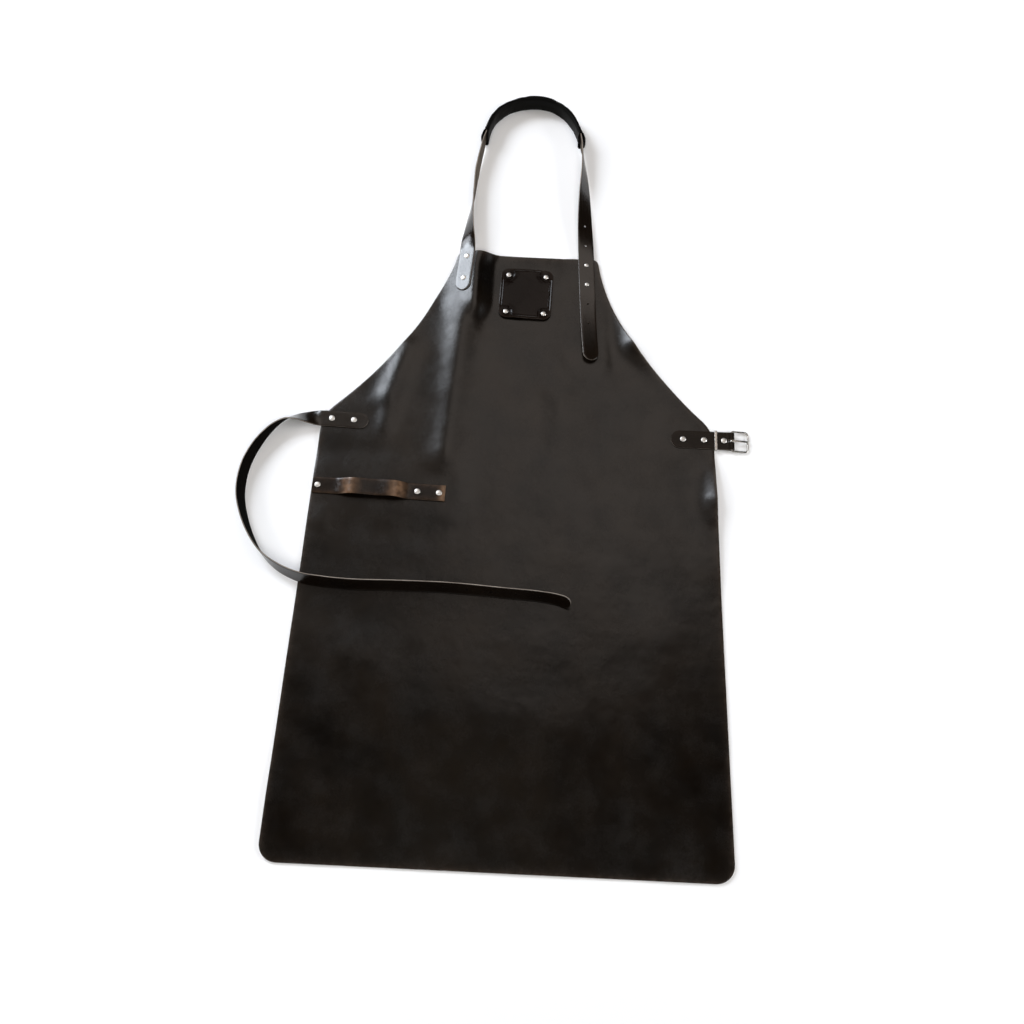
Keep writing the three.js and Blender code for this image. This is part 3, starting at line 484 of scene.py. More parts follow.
panel.data.set_sharp_from_angle(angle=PANEL_SHARP)
cut_rows = outline_rows()
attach(panel, "apron")
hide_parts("panel")


# Neck strap
# A 25 mm strap of bridle leather, riveted to the bib at the left and bolted through two of its six
# adjusting holes at the right. It stands on edge in an arch above the bib, with its tail lying loose.

STRAP_WIDTH = 25 * MM
STRAP_THICK = 2.2 * MM
STRAP_CORNER = 0.55 * MM
CORNER_LIMIT = 0.8
STRAP_STEP = 2.5 * MM
STRAP_FACE_COLUMNS = 7
CORNER_STEPS = 3
TIP_STEPS = 12
TIP_SHARPNESS = 9
SPAN_SAMPLES = 60
HOLE_RADIUS = 1.7 * MM
HOLE_SIDES = 20
PUNCH_REACH = 5 * MM
LEATHER_SHARP = math.radians(35)
UP = Vector((0, 0, 1))

ON_PANEL = 5.2
IN_PAD = 2.5
NECK_LEFT_X = -95.2
NECK_LEFT_TURN = -math.degrees(NECK_TILT)


def on_bib_left(x):
    """Middle height of the strap end on the tilted left corner of the bib, in millimetres."""
    seat = (GAP + STRAP_THICK / 2) / math.cos(NECK_TILT) / MM
    return NECK_LEFT_RISE + math.tan(NECK_TILT) * (x - NECK_LEFT_X) + LEATHER / MM + seat


def on_edge(under, turn):
    """Middle height of a strap that stands on its lower edge at a turn, in millimetres."""
    twist = math.radians(turn)
    drop = STRAP_WIDTH / 2 * abs(math.sin(twist)) + STRAP_THICK / 2 * abs(math.cos(twist))
    return under + (GAP + drop) / MM


# The strap's middle line, in millimetres and degrees: x, y, z and the twist about its run
NECK_ROUTE = [
    (-97.3, 223, on_bib_left(-97.3), NECK_LEFT_TURN),
    (-96.3, 244, on_bib_left(-96.3), NECK_LEFT_TURN),
    (-93.1, 283, on_bib_left(-93.1), NECK_LEFT_TURN),
    (-92.6, 297, on_bib_left(-92.6), NECK_LEFT_TURN - 1),
    (-92.6, 312, 16.6, -30),
    (-92.6, 330, 17.5, -51),
    (-92, 356, 16, -68),
    (-89, 395, on_edge(0.8, -88), -88),
    (-86, 445, on_edge(0.5, -98), -98),
    (-79, 494, on_edge(IN_PAD, -94), -94),
    (-76, 510, on_edge(IN_PAD, -90), -90),
    (-59.5, 555, on_edge(IN_PAD, -90), -90),
    (-27, 579, on_edge(IN_PAD, -90), -90),
    (4, 585, on_edge(IN_PAD, -90), -90),
    (32, 580, on_edge(IN_PAD, -90), -90),
    (61, 559, on_edge(IN_PAD, -90), -90),
    (80.5, 521, on_edge(IN_PAD, -90), -90),
    (85, 500, on_edge(IN_PAD, -90), -90),
    (90, 457, on_edge(0.9, -71), -71),
    (91.8, 407, on_edge(2, -43), -43),
    (93.6, 358, on_edge(3, -23), -23),
    (96, 320, on_edge(3.4, -9), -9),
    (97.6, 294, ON_PANEL, 0),
    (100, 248, ON_PANEL, 0),
    (101.2, 228, ON_PANEL, 0),
    (104.1, 176, ON_PANEL + 2.2, -7),
    (109.5, 111, ON_PANEL + 5.5, -14),
]
NECK_LEFT_HOLES = [20.7 * MM, 60.2 * MM, 99.7 * MM]
NECK_LEFT_RIVETS = 2
NECK_HOLES = 6
NECK_END_HOLE = 64.7
NECK_HOLE_PITCH = 35.3
NECK_TAIL_HOLES = [(NECK_END_HOLE + NECK_HOLE_PITCH * hole) * MM for hole in range(NECK_HOLES)]
NECK_TAIL_BOLTS = (2, 3)
CAP_RADIUS = 4.5 * MM
BOLT_RADIUS = 3.4 * MM


def curve_span(before, start, end, after):
    """The four factors of a centripetal curve from start to end."""
    gaps = [math.sqrt((b - a).length) for a, b in ((before, start), (start, end), (end, after))]
    leave = (start - before) / gaps[0] - (end - before) / (gaps[0] + gaps[1]) + (end - start) / gaps[1]
    arrive = (end - start) / gaps[1] - (after - start) / (gaps[1] + gaps[2]) + (after - end) / gaps[2]
    leave *= gaps[1]
    arrive *= gaps[1]
    return start, leave, -3 * start + 3 * end - 2 * leave - arrive, 2 * start - 2 * end + leave + arrive


class Strap:
    """A strap's middle line through its route, which can be asked for its place at any distance."""

    def __init__(self, route):
        points = [Vector(row[:3]) * MM for row in route]
        points = [2 * points[0] - points[1], *points, 2 * points[-1] - points[-2]]
        middles = []
        turns = []
        for span in range(len(route) - 1):
            a, b, c, d = curve_span(*points[span:span + 4])
            last = span == len(route) - 2
            for sample in range(SPAN_SAMPLES + last):
                share = sample / SPAN_SAMPLES
                middles.append(a + share * (b + share * (c + share * d)))
                turns.append(math.radians(mix(route[span][3], route[span + 1][3], share)))
        self.middles = np.array(middles)
        self.turns = np.array(turns)
        steps = np.linalg.norm(np.diff(self.middles, axis=0), axis=1)
        self.distances = np.concatenate([[0], np.cumsum(steps)])
        self.runs = np.gradient(self.middles, self.distances, axis=0)
        self.length = self.distances[-1]

    def between(self, distance, rows):
        return Vector([np.interp(distance, self.distances, rows[:, axis]) for axis in range(3)])

    def at(self, distance):
        """The middle, the run, the direction across and the grain's direction at a distance."""
        middle = self.between(distance, self.middles)
        run = self.between(distance, self.runs).normalized()
        turn = np.interp(distance, self.distances, self.turns)
        side = UP.cross(run).normalized()
        across = side * math.cos(turn) + run.cross(side) * math.sin(turn)
        return middle, run, across, run.cross(across)


def strap_section(half, thick, corner):
    """A flat section with rounded corners: places across and up, and the face that starts at each."""
    up = thick / 2
    corner = min(corner, CORNER_LIMIT * half)
    arc = []
    for step in range(CORNER_STEPS + 1):
        turn = math.radians(90 * step / CORNER_STEPS)
        arc.append((half - corner + corner * math.cos(turn), up - corner + corner * math.sin(turn)))
    flat = np.linspace(half - corner, corner - half, STRAP_FACE_COLUMNS + 2)[1:-1]
    points = []
    for sign, face in ((1, GRAIN_FACE), (-1, FLESH_FACE)):
        points += [(sign * across, sign * rise, face) for across, rise in arc]
        points += [(sign * across, sign * up, face) for across in flat]
        points += [(-sign * across, sign * rise, face) for across, rise in reversed(arc[1:])]
        points.append((-sign * arc[0][0], sign * arc[0][1], CUT_FACE))
    return points


def loft(name, rings, faces_of, rub=None, closed=False, end_face=GRAIN_FACE):
    """A closed body through rings of points that turn left as seen from ahead."""
    sides = len(rings[0])
    faces = []
    kinds = []
    for ring in range(len(rings) if closed else len(rings) - 1):
        here = ring * sides
        ahead = (ring + 1) % len(rings) * sides
        for side in range(sides):
            turn = (side + 1) % sides
            faces.append((here + side, here + turn, ahead + turn, ahead + side))
            kinds.append(faces_of[side])
    if not closed:
        last = (len(rings) - 1) * sides
        faces += [tuple(reversed(range(sides))), tuple(range(last, last + sides))]
        kinds += [end_face] * 2
    mesh = bpy.data.meshes.new(name)
    mesh.from_pydata([point for ring in rings for point in ring], [], faces)
    mesh.polygons.foreach_set("material_index", kinds)
    if rub is not None:
        mesh.attributes.new("rub", "FLOAT", "POINT").data.foreach_set("value", rub)
    return mesh


def tip_half(radius, from_tip):
    """Half-width of a strap near a half-round tip."""
    inset = radius - min(from_tip, radius)
    return math.sqrt(max(radius ** 2 - inset ** 2, 0))


def strap_stations(length, round_start, round_end):
    """Distances along a strap, close together round its tips."""
    radius = STRAP_WIDTH / 2
    tip = [radius * (1 - math.cos(math.pi / 2 * step / TIP_STEPS)) for step in range(TIP_STEPS)]
    tip[0] = tip[1] / TIP_SHARPNESS
    start = tip if round_start else [0]
    end = [length - place for place in reversed(tip)] if round_end else [length]
    body_from = radius if round_start else STRAP_STEP
    body_to = length - (radius if round_end else STRAP_STEP)
    return [*start, *np.arange(body_from, body_to, STRAP_STEP), *end]


def strap_mesh(name, strap, round_start=True, round_end=True, edge_rub=1, wear_and_sheen_at=()):
    """A strap along its line, rubbed along its edges, and paler across the places where it is worn and a
    highlight is painted.
    """
    rings = []
    rub = []
    radius = STRAP_WIDTH / 2
    for distance in strap_stations(strap.length, round_start, round_end):
        middle, _, across, grain = strap.at(distance)
        half = radius
        if round_start:
            half = min(half, tip_half(radius, distance))
        if round_end:
            half = min(half, tip_half(radius, strap.length - distance))
        section = strap_section(half, STRAP_THICK, STRAP_CORNER)
        rings.append([middle + across * sideways + grain * upward for sideways, upward, _ in section])
        # Worn places along the strap, which also carry a painted highlight
        worn = max([math.exp(-((distance - place) / reach) ** 2) for place, reach in wear_and_sheen_at], default=0)
        edges = [edge_rub * math.exp((abs(sideways) - half) / EDGE_RUB) for sideways, _, _ in section]
        rub += [max(worn, edge) for edge in edges]
    return loft(name, rings, [face for _, _, face in section], rub, end_face=CUT_FACE)


def circle(middle, one, other, radius, sides):
    """Points round a circle from the direction one towards the other."""
    turns = [2 * math.pi * side / sides for side in range(sides)]
    return [middle + radius * (one * math.cos(turn) + other * math.sin(turn)) for turn in turns]


def punch_mesh(places):
    """Round punches along their axes: middle, run, across and axis of each."""
    tools = bpy.data.meshes.new("punch")
    points = []
    faces = []
    for middle, run, across, axis in places:
        first = len(points)
        for side in (-1, 1):
            points += circle(middle + axis * PUNCH_REACH * side, run, across, HOLE_RADIUS, HOLE_SIDES)
        rim = range(HOLE_SIDES)
        faces.append([first + side for side in reversed(rim)])
        faces.append([first + HOLE_SIDES + side for side in rim])
        for side in rim:
            after = (side + 1) % HOLE_SIDES
            faces.append([first + side, first + after, first + HOLE_SIDES + after, first + HOLE_SIDES + side])
    tools.from_pydata(points, [], faces)
    tools.polygons.foreach_set("material_index", [FLESH_FACE] * len(faces))
    return tools


def cut_out(piece, tools):
    """Cuts tools out of a piece."""
    tool = bpy.data.objects.new("tool", tools)
    bpy.context.scene.collection.objects.link(tool)
    cut = piece.modifiers.new("Cut", "BOOLEAN")
    cut.object = tool
    cut.operation = "DIFFERENCE"
    cut.solver = "EXACT"
    bake(piece)
    bpy.data.objects.remove(tool)


def leather_piece(name, mesh, finishes, tools=None):
    """A piece of leather with its grain, edge and flesh finishes, cut by its tools and shaded smooth."""
    piece = bpy.data.objects.new(name, mesh)
    bpy.context.scene.collection.objects.link(piece)
    for finish in finishes:
        mesh.materials.append(finish)
    if tools:
        cut_out(piece, tools)
    piece.data.shade_smooth()
    piece.data.set_sharp_from_angle(angle=LEATHER_SHARP)
    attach(piece, "apron")
    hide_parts(name)
    return piece


# The deep dye, the faded dye and the rubbed edges
STRAP_COLOURS = [(0.0034, 0.002, 0.0011), (0.009, 0.0053, 0.0031), (0.04, 0.026, 0.017)]
STRAP_GLOSS = 0.19
STRAP_SHINE = 0.5
STRAP_PORE = 0.8 * MM
STRAP_CREASE = 9 * MM
STRAP_CREASE_DEPTH = 0.06 * MM
STRAP_RUB = 0.15
STRAP_EDGE_PALE = (0.4, 0.35, 0.3)
STRAP_EDGE_DARK = (0.11, 0.085, 0.068)
# The neck strap's flesh side, paler than the same leather on the other straps: painted light where that face
# catches the light
NECK_FLESH_PAINTED_LIGHT_PALE = (0.13, 0.108, 0.088)
NECK_FLESH_PAINTED_LIGHT_DARK = (0.05, 0.041, 0.033)


def bridle_leather(name, shine):
    return grain_leather(
        name, STRAP_COLOURS, STRAP_GLOSS, shine, STRAP_PORE, STRAP_CREASE, STRAP_CREASE_DEPTH, STRAP_RUB)


# Every rivet, as its strap or patch is made: the leather's face, the axis, the depth and the cap's radius
rivets = []


def rivet_strap(strap, distance, radius):
    """Notes a rivet through a strap and the panel."""
    middle, _, _, grain = strap.at(distance)
    depth = STRAP_THICK + GAP + LEATHER * grain.z
    rivets.append((middle + grain * STRAP_THICK / 2, grain, depth, radius))


strap_leather = bridle_leather("strap_leather", STRAP_SHINE)
strap_edge = fibre_leather("strap_edge", STRAP_EDGE_PALE, STRAP_EDGE_DARK, EDGE_FIBRE)
neck_flesh = fibre_leather("neck_flesh", NECK_FLESH_PAINTED_LIGHT_PALE, NECK_FLESH_PAINTED_LIGHT_DARK, FLESH_FIBRE)
neck_line = Strap(NECK_ROUTE)
neck_tail = [neck_line.length - distance for distance in NECK_TAIL_HOLES]
neck_holes = [neck_line.at(distance) for distance in [*NECK_LEFT_HOLES, *neck_tail]]
neck_strap = leather_piece(
    "neck_strap", strap_mesh("neck_strap", neck_line), [strap_leather, strap_edge, neck_flesh],
    punch_mesh(neck_holes))
for distance in NECK_LEFT_HOLES[:NECK_LEFT_RIVETS]:
    rivet_strap(neck_line, distance, CAP_RADIUS)
for hole in NECK_TAIL_BOLTS:
    rivet_strap(neck_line, neck_tail[hole], BOLT_RADIUS)


# Neck pad
# A soft black sleeve round the top of the neck strap, of thin padded leather folded over and closed along
# its lower side. It is slightly crumpled, and open at both ends where the strap goes in.

PAD_HEIGHT = 30 * MM
PAD_THICK = 9 * MM
PAD_FROM_Y = 506 * MM
PAD_STEP = 1.6 * MM
PAD_SEARCH = 1 * MM
PAD_SIDES = 56
PAD_SQUARENESS = 0.55
PAD_SLOT_ROOM = 0.7 * MM
PAD_SLOT_SQUARENESS = 0.2
PAD_LIP = 2.2 * MM
PAD_LIP_DRAW = 0.13
PAD_MOUTH = 22 * MM
PAD_SLANT = 11 * MM
PAD_FLARE = 2.6 * MM
PAD_FOLD_SIZE = 26 * MM
PAD_FOLD_DEPTH = 0.26
PAD_CRUMPLE_SIZE = 8 * MM
PAD_CRUMPLE_DEPTH = 0.11
PAD_SAG = PAD_FOLD_DEPTH / 3
PAD_DRAW_ACROSS = 0.25
PAD_COLOURS = [(0.0008, 0.0007, 0.0005), (0.002, 0.0017, 0.0013), (0.002, 0.0017, 0.0013)]
PAD_GLOSS = 0.52
PAD_SHINE = 0.06
PAD_PORE = 0.9 * MM
PAD_CREASE = 6 * MM
PAD_RUB = 0


def rounded(value, squareness):
    return math.copysign(abs(value) ** squareness, value)


def sleeve_ring(strap, distance, mouth, half_height, half_thick, squareness, crumple=0):
    """A ring round the strap, set back at its top near an open end, that crumples only draw in."""
    ring = []
    for side in range(PAD_SIDES):
        turn = 2 * math.pi * side / PAD_SIDES
        top = max(0, -math.cos(turn)) ** 2
        middle, _, across, grain = strap.at(distance + mouth * abs(mouth) * PAD_SLANT * top)
        high = rounded(math.cos(turn), squareness) * half_height
        thick = rounded(math.sin(turn), squareness) * (half_thick + PAD_FLARE * mouth ** 2)
        point = middle + across * high + grain * thick
        folds = noise.noise(point / PAD_FOLD_SIZE) * PAD_FOLD_DEPTH
        wrinkles = noise.noise(point / PAD_CRUMPLE_SIZE) * PAD_CRUMPLE_DEPTH
        draw = crumple * max(0, folds + wrinkles + PAD_SAG)
        ring.append(middle + across * high * (1 - draw * PAD_DRAW_ACROSS) + grain * thick * (1 - draw))
    return ring


def pad_mesh(strap):
    inside = [d for d in np.arange(0, strap.length, PAD_SEARCH) if strap.at(d)[0].y > PAD_FROM_Y]
    start, end = inside[0], inside[-1]
    outer = []
    inner = []
    slot_height = STRAP_WIDTH / 2 + PAD_SLOT_ROOM
    slot_thick = STRAP_THICK / 2 + PAD_SLOT_ROOM
    for distance in np.linspace(start, end, round((end - start) / PAD_STEP)):
        mouth = max(0, 1 - (distance - start) / PAD_MOUTH) - max(0, 1 - (end - distance) / PAD_MOUTH)
        lip = min(distance - start, end - distance, PAD_LIP) / PAD_LIP
        closing = 1 - PAD_LIP_DRAW * (1 - math.sqrt(1 - (1 - lip) ** 2))
        outer.append(sleeve_ring(
            strap, distance, mouth, PAD_HEIGHT / 2 * closing, PAD_THICK / 2 * closing, PAD_SQUARENESS,
            crumple=lip))
        inner.insert(0, sleeve_ring(strap, distance, mouth, slot_height, slot_thick, PAD_SLOT_SQUARENESS))
    return loft("neck_pad", outer + inner, [GRAIN_FACE] * PAD_SIDES, closed=True)


pad_leather = grain_leather(
    "pad_leather", PAD_COLOURS, PAD_GLOSS, PAD_SHINE, PAD_PORE, PAD_CREASE, LEATHER_CREASE_DEPTH, PAD_RUB)
neck_pad = leather_piece("neck_pad", pad_mesh(neck_line), [pad_leather])


# Patch
# A square of glazed leather held on the bib by four small rivets. A creasing tool has drawn a line
# round it that steps in past each rivet, and the leather swells a little between them.

PATCH_X = 3.8 * MM
PATCH_Y = 224 * MM
PATCH_BACK_Z = 4.1 * MM
PATCH_WIDTH = 83 * MM
PATCH_LENGTH = 88 * MM
PATCH_CORNER = 13 * MM
PATCH_TURN = math.radians(-1.6)
PATCH_RIVET_X = 29.8 * MM
PATCH_RIVET_Y = 32.9 * MM
PATCH_CAP_RADIUS = 4 * MM
PATCH_SIDES = 180
PATCH_RINGS = 84
PATCH_EDGE_STEPS = 4
PATCH_MIDDLE = 0.15
PATCH_BACK_SKIP = 3
OUTLINE_HALVINGS = 40
LINE_INSET = 3.2 * MM
LINE_NOTCH = 8 * MM
LINE_WIDTH = 0.9 * MM
LINE_BANK = 1.7 * MM
LINE_BANK_SHARE = 0.6
LINE_DEPTH = 0.6 * MM
SWELL = 2.4 * MM
SWELL_REACH = 10 * MM
PATCH_RIPPLE = 0.9 * MM
PATCH_RIPPLE_SIZE = 24 * MM
PATCH_COLOURS = [(0.0036, 0.002, 0.0015), (0.0062, 0.0036, 0.0027), (0.05, 0.034, 0.024)]
PATCH_GLOSS = 0.13
PATCH_SHINE = 0.12
PATCH_PORE = 0.7 * MM
PATCH_CREASE = 5 * MM
PATCH_RUB = 0.25


def square_distance(x, y, half_x, half_y, corner):
    """How far a point is outside a rectangle with round corners, or inside it if negative."""
    beyond_x = abs(x) - half_x + corner
    beyond_y = abs(y) - half_y + corner
    outside = math.hypot(max(beyond_x, 0), max(beyond_y, 0))
    return outside + min(max(beyond_x, beyond_y), 0) - corner


def rounded_square(half_x, half_y, corner, sides):
    """Points round a rectangle with round corners, turning left, spread evenly by direction."""
    points = []
    for side in range(sides):
        turn = 2 * math.pi * side / sides
        x, y = math.cos(turn), math.sin(turn)
        low, high = 0, half_x + half_y
        for _ in range(OUTLINE_HALVINGS):
            reach = (low + high) / 2
            if square_distance(x * reach, y * reach, half_x, half_y, corner) < 0:
                low = reach
            else:
                high = reach
        points.append((x * low, y * low))
    return points


def creased_line(x, y):
    """Depth of the line pressed round the patch at a point."""
    border = square_distance(
        x, y, PATCH_WIDTH / 2 - LINE_INSET, PATCH_LENGTH / 2 - LINE_INSET, PATCH_CORNER - LINE_INSET)
    notch = math.hypot(max(PATCH_RIVET_X - abs(x), 0), max(PATCH_RIVET_Y - abs(y), 0))
    away = max(border, LINE_NOTCH - notch)
    beside = (abs(away) - LINE_BANK) / LINE_WIDTH
    return LINE_DEPTH * (math.exp(-(away / LINE_WIDTH) ** 2) - LINE_BANK_SHARE * math.exp(-beside ** 2))


def patch_swell(x, y):
    """How far the patch stands off the bib between its rivets."""
    near = math.hypot(abs(x) - PATCH_RIVET_X, abs(y) - PATCH_RIVET_Y)
    free = 1 - math.exp(-(near / SWELL_REACH) ** 2)
    uneven = noise.noise(Vector((x, y, 0)) / PATCH_RIPPLE_SIZE)
    return free * (SWELL + PATCH_RIPPLE * uneven)


def patch_mesh():
    outline = rounded_square(PATCH_WIDTH / 2, PATCH_LENGTH / 2, PATCH_CORNER, PATCH_SIDES)
    shares = [(ring + PATCH_MIDDLE) / PATCH_RINGS for ring in range(PATCH_RINGS)]
    shares.append(1 - EDGE_ROUND / (PATCH_WIDTH / 2))
    layers = [(share, 0) for share in shares[::PATCH_BACK_SKIP]]
    for step in range(PATCH_EDGE_STEPS + 1):
        turn = math.pi / 2 * step / PATCH_EDGE_STEPS
        share = shares[-1] + (1 - shares[-1]) * math.cos(turn)
        layers.append((share, LEATHER - EDGE_ROUND * (1 - math.sin(turn))))
    layers += [(share, LEATHER) for share in reversed(shares[:-1])]
    turned = Matrix.Rotation(PATCH_TURN, 3, "Z")
    rings = []
    rub = []
    for share, height in layers:
        ring = []
        for x, y in outline:
            place = Vector((x * share, y * share, height + patch_swell(x * share, y * share)))
            if height > 0:
                place.z -= creased_line(place.x, place.y)
            ring.append(turned @ place + Vector((PATCH_X, PATCH_Y, PATCH_BACK_Z)))
        rings.append(ring)
        rub += [math.exp((share - 1) * PATCH_WIDTH / 2 / EDGE_RUB)] * PATCH_SIDES
    return loft("patch", rings, [GRAIN_FACE] * PATCH_SIDES, rub)


patch_leather = grain_leather(
    "patch_leather", PATCH_COLOURS, PATCH_GLOSS, PATCH_SHINE, PATCH_PORE, PATCH_CREASE, LEATHER_CREASE_DEPTH,
    PATCH_RUB)
patch = leather_piece("patch", patch_mesh(), [patch_leather])
patch_face = PATCH_BACK_Z + LEATHER
for side_x, side_y in ((-1, 1), (1, 1), (-1, -1), (1, -1)):
    place = Vector((side_x * PATCH_RIVET_X, side_y * PATCH_RIVET_Y, 0))
    place = Matrix.Rotation(PATCH_TURN, 3, "Z") @ place + Vector((PATCH_X, PATCH_Y, patch_face))
    rivets.append((place, UP, patch_face - RIVET_ROOM, PATCH_CAP_RADIUS))


# Waist strap
# The same strap leather, riveted at the left corner of the waist. It turns on edge in a wide loop beside
# the apron and lies across the skirt, leaning, with prong holes near its half-round tip.

# The strap's middle line, in millimetres and degrees: x, y, z and the twist about its run
WAIST_ROUTE = [
    (-227, -6.1, ON_PANEL, 0),
    (-282.2, -3.9, ON_PANEL, 0),
    (-299.5, -4.2, ON_PANEL, 0),
    (-318, -5, on_edge(0.6, 28), 28),
    (-335, -6.5, on_edge(0.3, 52), 52),
    (-352, -11, on_edge(0, 70), 70),
    (-371, -27, on_edge(0, 86), 86),
    (-389.3, -54.3, on_edge(0, 99), 99),
    (-401, -84, on_edge(0, 105), 105),
    (-405.3, -114, on_edge(0, 107), 107),
    (-403.5, -140, on_edge(0, 107), 107),
    (-394, -171, on_edge(0, 104), 104),
    (-379.5, -200.5, on_edge(0, 98), 98),
    (-361.5, -225, on_edge(0, 89), 89),
    (-336, -244.5, on_edge(1.4, 77), 77),
    (-303, -258, on_edge(2, 70), 70),
    (-271, -262.6, on_edge(2, 68), 68),
    (-228, -265, on_edge(2, 68), 68),
    (-156, -263.8, on_edge(2, 68), 68),
    (-84, -263.8, on_edge(2, 68), 68),
    (-12, -267.6, on_edge(2, 68), 68),
    (45, -270.8, on_edge(2, 68), 68),
    (73, -275, on_edge(2, 66), 66),
    (89, -281, on_edge(2, 62), 62),
]
WAIST_RIVETS = [21.4 * MM, 55.2 * MM]
WAIST_HOLES = 5
WAIST_END_HOLE = 46
WAIST_HOLE_PITCH = 35
WAIST_TAIL_HOLES = [(WAIST_END_HOLE + WAIST_HOLE_PITCH * hole) * MM for hole in range(WAIST_HOLES)]
# The flesh side of the waist strap, towel strap and tab, darkened to the shade on the waist strap's turned
# face: painted shade
STRAP_FLESH_PAINTED_SHADE_PALE = (0.004, 0.0032, 0.0025)
STRAP_FLESH_PAINTED_SHADE_DARK = (0.0016, 0.0012, 0.0009)

strap_flesh = fibre_leather("strap_flesh", STRAP_FLESH_PAINTED_SHADE_PALE, STRAP_FLESH_PAINTED_SHADE_DARK, FLESH_FIBRE)
waist_line = Strap(WAIST_ROUTE)
waist_holes = [waist_line.at(distance) for distance in WAIST_RIVETS]
waist_holes += [waist_line.at(waist_line.length - distance) for distance in WAIST_TAIL_HOLES]
waist_strap = leather_piece(
    "waist_strap", strap_mesh("waist_strap", waist_line), [strap_leather, strap_edge, strap_flesh],
    punch_mesh(waist_holes))
for distance in WAIST_RIVETS:
    rivet_strap(waist_line, distance, CAP_RADIUS)


# Towel strap
# A short strap with square ends, dark and glazed, worn brown at its bends with a painted copper highlight
# there.
# It is riveted at one end and twice at the other, and bows up between them so that a towel can be pushed
# through.

# The strap's middle line, in millimetres: x, y and the lift off the panel
TOWEL_LIFTS = [
    (-301, -112, 0), (-280, -112.5, 0), (-270, -112.8, 0), (-263, -113, 0.7), (-256, -113.2, 3),
    (-243, -113.6, 8.5), (-206, -114.6, 7), (-176, -115.4, 8.5), (-164, -115.8, 3), (-158, -116, 0.7),
    (-152, -116.1, 0), (-140, -116.4, 0), (-102, -117.4, 0),
]
TOWEL_RIVETS = [8 * MM, 161 * MM, 193.5 * MM]
TOWEL_EDGE_RUB = 0.2
# The deep dye, the faded dye, and the rubbed colour, which also paints the copper highlight on the bends
TOWEL_COLOURS = [(0.0026, 0.0014, 0.0009), (0.0075, 0.004, 0.0023), (0.2, 0.115, 0.066)]
TOWEL_GLOSS = 0.24
TOWEL_SHINE = 0.26
TOWEL_CREASE = 7 * MM

# Where the strap is worn and a copper highlight is painted on its bends: the distance along it and the reach
TOWEL_WEAR_AND_SHEEN = [(57 * MM, 12 * MM), (130 * MM, 12 * MM), (201 * MM, 7 * MM)]

towel_leather = grain_leather(
    "towel_leather", TOWEL_COLOURS, TOWEL_GLOSS, TOWEL_SHINE, STRAP_PORE, TOWEL_CREASE, LEATHER_CREASE_DEPTH,
    LEATHER_RUB)
towel_line = Strap([(x, y, ON_PANEL + lift, 0) for x, y, lift in TOWEL_LIFTS])
towel_holes = [towel_line.at(distance) for distance in TOWEL_RIVETS]
towel_mesh = strap_mesh("towel_strap", towel_line, False, False, TOWEL_EDGE_RUB, TOWEL_WEAR_AND_SHEEN)
towel_strap = leather_piece(
    "towel_strap", towel_mesh, [towel_leather, cut_edge, strap_flesh], punch_mesh(towel_holes))
for distance in TOWEL_RIVETS:
    rivet_strap(towel_line, distance, CAP_RADIUS)


# Buckle tab
# A short strap riveted at the right corner of the waist. It wraps round the buckle's heel bar and back
# under itself, with a slot at the bend for the prong.

TAB_Y = -13.2 * MM
TAB_WIDTH = 28 * MM
TAB_START_X = 233.4 * MM
TAB_LOWER_START_X = 299 * MM
TAB_SPREAD_X = 318 * MM
TAB_UPPER_Z = 5.1 * MM
TAB_LOWER_Z = 2.8 * MM
TAB_RIVETS_X = [251.6 * MM, 283.3 * MM, 313.5 * MM]
TAB_SLOT_X = 319.4 * MM
TAB_SLOT_WIDTH = 4.6 * MM
TAB_SLOT_LENGTH = 20 * MM
TAB_SLOT_HEIGHT = 18 * MM
TAB_FOLD_STEPS = 28
TAB_SPREAD_STEPS = 6
TAB_LOWER_STEPS = 6
TAB_TIP_START = 0.3
TAB_STEP = 3 * MM
TAB_SHINE = 0.14
BAR_X = 325.9 * MM
BAR_Z = (TAB_UPPER_Z + TAB_LOWER_Z) / 2
WIRE_RADIUS = 1.5 * MM
FOLD_RADIUS = WIRE_RADIUS + GAP + LEATHER / 2


def tab_path():
    """The tab's middle line: x, z, half-width and how far it has turned over."""
    radius = TAB_WIDTH / 2
    layer = (TAB_UPPER_Z - TAB_LOWER_Z) / 2
    path = []
    for step in range(TIP_STEPS):
        turn = math.pi / 2 * max(step, TAB_TIP_START) / TIP_STEPS
        path.append((TAB_START_X + radius * (1 - math.cos(turn)), TAB_UPPER_Z, radius * math.sin(turn), 0))
    for x in np.arange(TAB_START_X + radius, TAB_SPREAD_X, TAB_STEP):
        path.append((x, TAB_UPPER_Z, radius, 0))
    spreads = []
    for step in range(TAB_SPREAD_STEPS):
        share = step / TAB_SPREAD_STEPS
        spreads.append((mix(TAB_SPREAD_X, BAR_X, share), mix(layer, FOLD_RADIUS, smooth(share))))
    path += [(x, BAR_Z + spread, radius, 0) for x, spread in spreads]
    for step in range(TAB_FOLD_STEPS + 1):
        turn = math.pi * step / TAB_FOLD_STEPS
        x = BAR_X + FOLD_RADIUS * math.sin(turn)
        path.append((x, BAR_Z + FOLD_RADIUS * math.cos(turn), radius, turn))
    path += [(x, BAR_Z - spread, radius, math.pi) for x, spread in reversed(spreads)]
    for x in np.linspace(TAB_SPREAD_X - TAB_STEP, TAB_LOWER_START_X, TAB_LOWER_STEPS):
        path.append((x, TAB_LOWER_Z, radius, math.pi))
    return path


